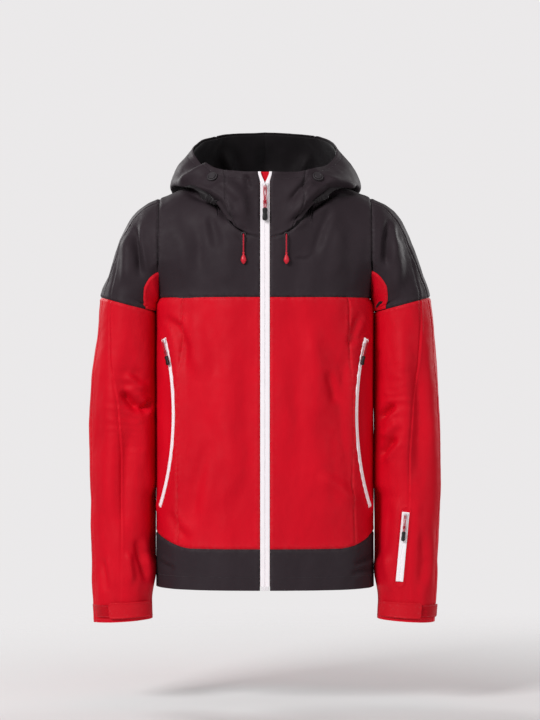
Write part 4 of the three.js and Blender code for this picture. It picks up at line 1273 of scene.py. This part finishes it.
def make_storm_flap():
    """The flap behind the zip, narrower where it shows between the parted collar edges."""
    def surface(x, z):
        narrow = smooth(-30, -8, z)
        x = lerp(x, 1 + (x - 3) * 0.62, narrow)
        out = -STORM_FLAP["inside"] - 0.15 * np.sin(z / 17) - 0.1 * np.sin(x)
        return front_line(x, out, z - 3.2 * smooth(-8, STORM_FLAP["top"], z))

    flap = Panel("storm_flap_fabric", surface, steps(STORM_FLAP["from"], STORM_FLAP["to"], 20),
                 steps(ZIP_BOTTOM, STORM_FLAP["top"], 160), folds=0, seams=(0, 0, 0, 0), thickness=1.7)
    flap.build([RED], "shell", ["storm_flap"])


def zip_band(name, zip_line, half, body, nodes):
    """A closed coated zip: two crowned tapes that meet in a fine groove, with folded ends."""
    across = np.array([-1, -0.97, -0.9, -0.6, -0.12, -0.05, 0, 0.05, 0.12, 0.6, 0.9, 0.97, 1]) * half
    out = np.array([-0.9, -0.35, -0.1, -0.1, 0.0, -0.12, -0.5, -0.12, 0.0, -0.1, -0.1, -0.35, -0.9])
    back = np.array([-1, -0.5, 0.5, 1]) * half
    across, out = np.concatenate([across, back[::-1]]), np.concatenate([out, np.full(4, -ZIP_THICK)])
    length = zip_line.top - zip_line.bottom
    count = max(24, int(length / 4))
    share = np.concatenate([[0, 0.002, 0.006], np.linspace(0.012, 0.988, count), [0.994, 0.998, 1]])
    sections = []
    for s in share:
        ends = 1 - smooth(0, 0.008, min(s, 1 - s))
        ring_out = np.where(out > -1.2, out - 0.8 * ends, out)
        along = np.full(len(across), lerp(zip_line.bottom, zip_line.top, s))
        sections.append(zip_line.place(along, across * (1 - 0.04 * ends), ring_out))
    vertices, faces = loft(sections)
    obj = make_mesh(name, vertices, faces, [WHITE_TAPE], sharp=50)
    face_outwards(obj)
    put(obj, body, nodes)


def slider_solid(scale):
    """Cast slider: a shouldered body, a raised crown and the bail that carries the pull."""
    half, tall, thick = SLIDER["width"] / 2, SLIDER["height"] / 2, SLIDER["thick"]
    shape = [(-1, 0.55), (-0.86, 1), (-0.3, 0.86), (0.3, 0.86), (0.86, 1), (1, 0.55), (0.72, -0.7),
             (0.55, -1), (-0.55, -1), (-0.72, -0.7)]
    body = bevelled_plate([(x * half, z * tall) for x, z in shape], -GAP - thick, -GAP, 0.55)
    crown = bevelled_plate(rounded_outline(4.4, -4.6, 4.6, 1.6), -GAP - thick - 0.7, -GAP - thick + 0.4, 0.4)
    reach = GAP + thick + BAIL_REACH
    turn = np.radians(np.linspace(0, 180, 22))
    bail = points(0 * turn, -(GAP + thick) - 0.2 - np.sin(turn) * (reach - 2.2), 4.1 * np.cos(turn))
    vertices, faces = combine(body, crown, tube(bail, 0.75, sides=10))
    return vertices * scale, faces


def pull_middle(scale):
    """How far in front of the zip a pull hangs, as a Y in the slider's unscaled frame."""
    return -(GAP / scale + SLIDER["thick"] + BAIL_REACH)


def pull_cord(scale):
    """The cord of the pull: down one side of the loop, round the grip's eye and up the other."""
    middle = pull_middle(scale)
    down = [(0.2, middle + 1.5, 0.5), (1.0, middle + 0.4, 0.7), (1.5, middle - 0.6, -3),
            (1.9, middle - 0.3, -10), (1.3, middle, -20), (1.6, middle, -29), (1.1, middle, -LOOP_HEIGHT - 1)]
    control = down + [(-x, y, z) for x, y, z in reversed(down)]
    loop = tube(curve_through(control, 110, closed=True), 1.05, closed=True, sides=12)
    wrap = tube(curve_through([(math.cos(t) * 2.9, middle + math.sin(t) * 1.9, -24 - t * 0.32)
                               for t in np.linspace(0, 6 * np.pi, 37)], 150), 0.62, sides=8)
    vertices, faces = combine(loop, wrap)
    return vertices * scale, faces


def pull_grip(scale):
    """Moulded grip: waisted, ribbed across and rounded at both ends."""
    high = 1.1 - LOOP_HEIGHT - GAP / scale
    sections = []
    for s in np.linspace(0, 1, 60):
        ends = math.sqrt(max(0.0004, 1 - (2 * s - 1) ** 8))
        waist = 1 - 0.14 * math.exp(-(((s - 0.42) / 0.2) ** 2))
        rib = 1 - 0.07 * (0.5 + 0.5 * math.cos(s * 2 * math.pi * 9)) * (0.2 < s < 0.9)
        section = ring_section(GRIP["width"] / 2 * ends * waist, GRIP["thick"] / 2 * ends * waist * rib, 3.4,
                               high - GRIP["height"] * s)
        section[:, 1] += pull_middle(scale)
        sections.append(section)
    vertices, faces = loft(sections)
    return vertices * scale, faces


def make_slider(zip_name, place, slider_body, pull_body, ending=""):
    """A zip's slider, pull cord and grip; the pieces' names have the given ending."""
    scale = place["scale"]
    for part, (vertices, faces), material, body, slot in (
            ("slider", slider_solid(scale), WHITE_METAL, slider_body, "slider_metal"),
            ("pull_cord", pull_cord(scale), RED_CORD, pull_body, "cord"),
            ("pull_grip", pull_grip(scale), BLACK_RUBBER, pull_body, "grip_rubber")):
        node = f"{zip_name}_{part}{ending}"
        obj = make_mesh(f"{node}_detail", in_frame(place, vertices), faces, [material], sharp=45)
        face_outwards(obj)
        put(obj, body, [node])


def make_zips():
    make_main_zip()
    make_slider("main_zip", MAIN_ZIP, "main_slider", "main_pull")
    for side in SIDES:
        zip_band(f"pocket_zip_tape_{side}_coated", POCKET_ARC[side], POCKET_WIDTH / 2, "shell",
                 [f"pocket_zip_tape_{side}"])
        make_slider("pocket_zip", POCKET_ZIP[side], f"pocket_slider_{side}", f"pocket_pull_{side}",
                    ending=f"_{side}")
    zip_band("forearm_zip_tape_coated", FOREARM_LINE, FOREARM_ZIP_WIDTH / 2, "forearm_left",
             ["forearm_zip_tape"])
    make_slider("forearm_zip", FOREARM_ZIP, "forearm_slider", "forearm_pull")


def make_pocket_bags():
    for side, sign in SIDES.items():
        bag = Panel(f"pocket_bag_{side}_fabric", body_at, steps(POCKET_BAG["from"], POCKET_BAG["to"], 40),
                    steps(POCKET_BAG["low"], POCKET_BAG["high"], 60), sign, thickness=1.2,
                    lift=-POCKET_BAG["inside"], seams=(0, 0, 0, 0), folds=0.6)
        bag.build([PALE_LINING], "shell", [f"pocket_bag_{side}"])


# ---- hood trim ----
def lathe(profile, turns=36):
    """Vertices and faces of a closed profile of (radius, height) turned about Z."""
    profile = np.asarray(profile, float)
    turn = np.linspace(0, 2 * np.pi, turns, endpoint=False)
    sections = [points(r * np.cos(turn), r * np.sin(turn), h) for r, h in profile]
    return loft(sections, close=False)


def drawcord_exit(sign):
    return np.array([DRAWCORD["x"] * sign, -front_depth(DRAWCORD["z"]), DRAWCORD["z"]])


def braided_curve(side, path):
    """The drawcord's curve along its path, which is in metres."""
    data = bpy.data.curves.new(f"drawcord_{side}_braid", "CURVE")
    data.dimensions = "3D"
    data.bevel_depth = DRAWCORD["radius"] * MM
    data.bevel_resolution = 5
    data.use_fill_caps = True
    spline = data.splines.new("POLY")
    spline.points.add(len(path) - 1)
    spline.points.foreach_set("co", np.c_[path, np.ones(len(path))].ravel())
    data.materials.append(RED_CORD)
    cord = link(bpy.data.objects.new(data.name, data))
    return put(cord, f"drawcord_{side}", [f"drawcord_{side}"])


def moulded_end(side, exit_point):
    """The drop-shaped end over the cord: a short collar, a fine groove and a full lower part."""
    x, y, z = DRAWCORD_ROUTE[-2]
    tip = exit_point + np.array([x, y, z - GAP])
    s = np.linspace(0, 1, 40)
    length, radius = CORD_END["length"], CORD_END["radius"]
    swell = radius * np.sin(np.pi * np.clip(s, 0.001, 0.999) ** 1.5) ** 0.8
    collar = 2.1 * np.exp(-((s / 0.16) ** 4))
    widths = np.maximum(np.maximum(swell, collar), 0.02)
    widths[0] = 1.3
    widths *= 1 - 0.05 * np.exp(-(((s - 0.2) / 0.02) ** 2))
    sections = [ring_section(w, w * 0.8, 2, -length * t, 32) for w, t in zip(widths, s)]
    vertices, faces = loft(sections)
    end = make_mesh(f"drawcord_end_{side}_moulding", vertices + tip, faces, [RED_RUBBER], sharp=60)
    face_outwards(end)
    return put(end, f"drawcord_{side}", [f"drawcord_end_{side}"])


def make_eyelet(side, exit_point):
    turn = np.linspace(0, 2 * np.pi, 13)[:-1]
    rim = [(3.3 + 0.9 * math.cos(t), 0.2 + 0.55 * math.sin(t)) for t in turn]
    vertices, faces = lathe(rim + rim[:1])
    vertices = points(vertices[:, 0], -vertices[:, 2], vertices[:, 1]) + exit_point
    eyelet = make_mesh(f"drawcord_eyelet_{side}", vertices, faces, [TONAL_RUBBER])
    face_outwards(eyelet, weld=True)
    put(eyelet, "shell")


def make_drawcords():
    for side, sign in SIDES.items():
        exit_point = drawcord_exit(sign)
        path = (curve_through(DRAWCORD_ROUTE, 33) + exit_point) * MM
        cord = braided_curve(side, path)
        end = moulded_end(side, exit_point)
        make_eyelet(side, exit_point)


def lock_seat(side):
    """Place and outward normal of a cord lock on the hood."""
    angle, along = LOCK["angle"], LOCK["along"]
    near = hood_at(np.array([angle, angle + 8, angle - 8, angle, angle], float),
                   np.array([along, along, along, along + 0.06, along - 0.06]))
    normal = unit(np.cross(near[1] - near[2], near[3] - near[4]))
    flip = np.array([SIDES[side], 1, 1])
    return near[0] * flip, normal * flip


def rounded_edge(radius, top):
    """Profile points round a cord lock's outer edge, from its side to its top."""
    return [(radius - LOCK_ROUND + LOCK_ROUND * math.sin(t), top - LOCK_ROUND + LOCK_ROUND * math.cos(t))
            for t in np.linspace(math.pi / 2, 0, 7)]


def make_cord_locks():
    for side in SIDES:
        seat, normal = lock_seat(side)
        up = unit(np.array([0, 0, 1]) - normal * normal[2])
        across = np.cross(up, normal)

        def stand(vertices):
            return seat + vertices[:, :1] * across + vertices[:, 1:2] * up + vertices[:, 2:3] * normal

        radius, bore, base, depth = (LOCK[key] for key in ("radius", "bore", "base", "depth"))
        ring = [(bore, base), (radius, base), *rounded_edge(radius, depth), (bore + 0.5, depth),
                (bore, depth - 0.4), (bore, base)]
        vertices, faces = lathe(ring, 48)
        housing = make_mesh(f"cord_lock_housing_{side}_moulding", stand(vertices), faces, [TONAL_RUBBER])
        face_outwards(housing, weld=True)
        put(housing, "shell", [f"cord_lock_housing_{side}"])
        button, gap, top = LOCK["button"], LOCK["gap"], depth + LOCK["proud"]
        dish = [(button * 0.72, top - 0.02), (button * 0.66, top - 0.3), (button * 0.3, top - 0.38),
                (0, top - 0.38)]
        vertices, faces = lathe([(0, gap), (button, gap), *rounded_edge(button, top), *dish], 48)
        cap = make_mesh(f"cord_lock_button_{side}_moulding", stand(vertices), faces, [TONAL_RUBBER])
        face_outwards(cap, weld=True)
        put(cap, f"cord_lock_{side}", [f"cord_lock_button_{side}"])


def make_hanger():
    """Hanging loop: a folded woven tape, arched over its two sewn feet."""
    low, high = (np.array(corner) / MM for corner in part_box("hanging_loop"))
    half, thick = (high[0] - low[0]) / 2, high[1] - low[1]
    foot, top = half - LOOP_TAPE / 2, high[2] - LOOP_TAPE / 2
    right = [(half - 9, top), (foot - 0.6, high[2] - 8), (foot, low[2] + 8), (foot, low[2])]
    control = [(-x, z) for x, z in reversed(right)] + [(0, top)] + right
    line = curve_through(control, 90)
    way = unit(np.gradient(line, axis=0))
    sections = []
    turn = np.linspace(0, 2 * np.pi, 20, endpoint=False)
    for (x, z), w in zip(line, way):
        side = np.array([w[1], -w[0]])
        across = np.sign(np.cos(turn)) * np.abs(np.cos(turn)) ** 0.5 * (LOOP_TAPE / 2 - 0.1)
        deep = np.sign(np.sin(turn)) * np.abs(np.sin(turn)) ** 0.7 * thick / 2
        sections.append(points(x + across * side[0], (low[1] + high[1]) / 2 + deep, z + across * side[1]))
    vertices, faces = loft(sections)
    obj = make_mesh("hanging_loop_tape", vertices, faces, [DARK_THREAD], sharp=60)
    face_outwards(obj)
    put(obj, "shell", ["hanging_loop"])


# ---- stage ----
def make_floor():
    """A pale floor under the hem that fades into the surround."""
    lowest = cad_box[0][2]
    bm = bmesh.new()
    bmesh.ops.create_circle(bm, cap_ends=True, radius=6, segments=96)
    mesh = bpy.data.meshes.new("floor")
    bm.to_mesh(mesh)
    bm.free()
    floor = link(bpy.data.objects.new("floor", mesh))
    floor.location = (0, 0, lowest - FLOOR_DROP)
    look = Look("floor", 0.9, specular=0.1)
    look.shader.inputs["Base Color"].default_value = (0.7, 0.69, 0.692, 1)
    away = look.node("ShaderNodeVectorMath", {0: look.place}, operation="LENGTH").outputs["Value"]
    look.links.new(look.ramp(away, 0.45, 1.7, 1, 0), look.shader.inputs["Alpha"])
    mesh.materials.append(look.material)


def make_surround():
    """An even pale surround, which lights the jacket less than the camera sees it."""
    scene = bpy.context.scene
    scene.view_settings.view_transform = "Standard"
    world = bpy.data.worlds.new("studio")
    world.use_nodes = True
    nodes, links = world.node_tree.nodes, world.node_tree.links
    nodes["Background"].inputs[0].default_value = (0.83, 0.815, 0.82, 1)
    seen = nodes.new("ShaderNodeLightPath").outputs["Is Camera Ray"]
    strength = nodes.new("ShaderNodeMapRange")
    strength.inputs["To Min"].default_value = 0.33
    strength.inputs["To Max"].default_value = 1.0
    links.new(seen, strength.inputs["Value"])
    links.new(strength.outputs[0], nodes["Background"].inputs[1])
    scene.world = world


def add_light(name, place, size, watts, target=(0, 0, -0.33)):
    data = bpy.data.lights.new(name, "AREA")
    data.shape = "RECTANGLE"
    data.size, data.size_y = size
    data.energy = watts
    light = link(bpy.data.objects.new(name, data))
    light.location = place
    light.rotation_mode = "QUATERNION"
    light.rotation_quaternion = (Vector(target) - Vector(place)).to_track_quat("-Z", "Y")


def make_lights():
    add_light("key", (-1.9, -2.6, 1.5), (1.2, 1.2), 100)
    add_light("fill", (2.6, -2.4, 0.1), (1.4, 2.0), 24)
    add_light("back_left", (-2.2, 2.6, 1.2), (1.4, 1.4), 74)
    add_light("back_right", (2.4, 2.4, 0.6), (1.6, 1.6), 52)


# ---- all of it ----
for sign in SIDES.values():
    CALM.append((drawcord_exit(sign), 5, 18))
for side in SIDES:
    CALM.append((lock_seat(side)[0], 11, 24))

make_drawcords()
make_body()
make_yoke()
make_hood()
make_sleeves()
make_gussets()
make_cuffs()
make_zips()
make_pocket_bags()
make_cord_locks()
make_hanger()
make_floor()
make_surround()
make_lights()
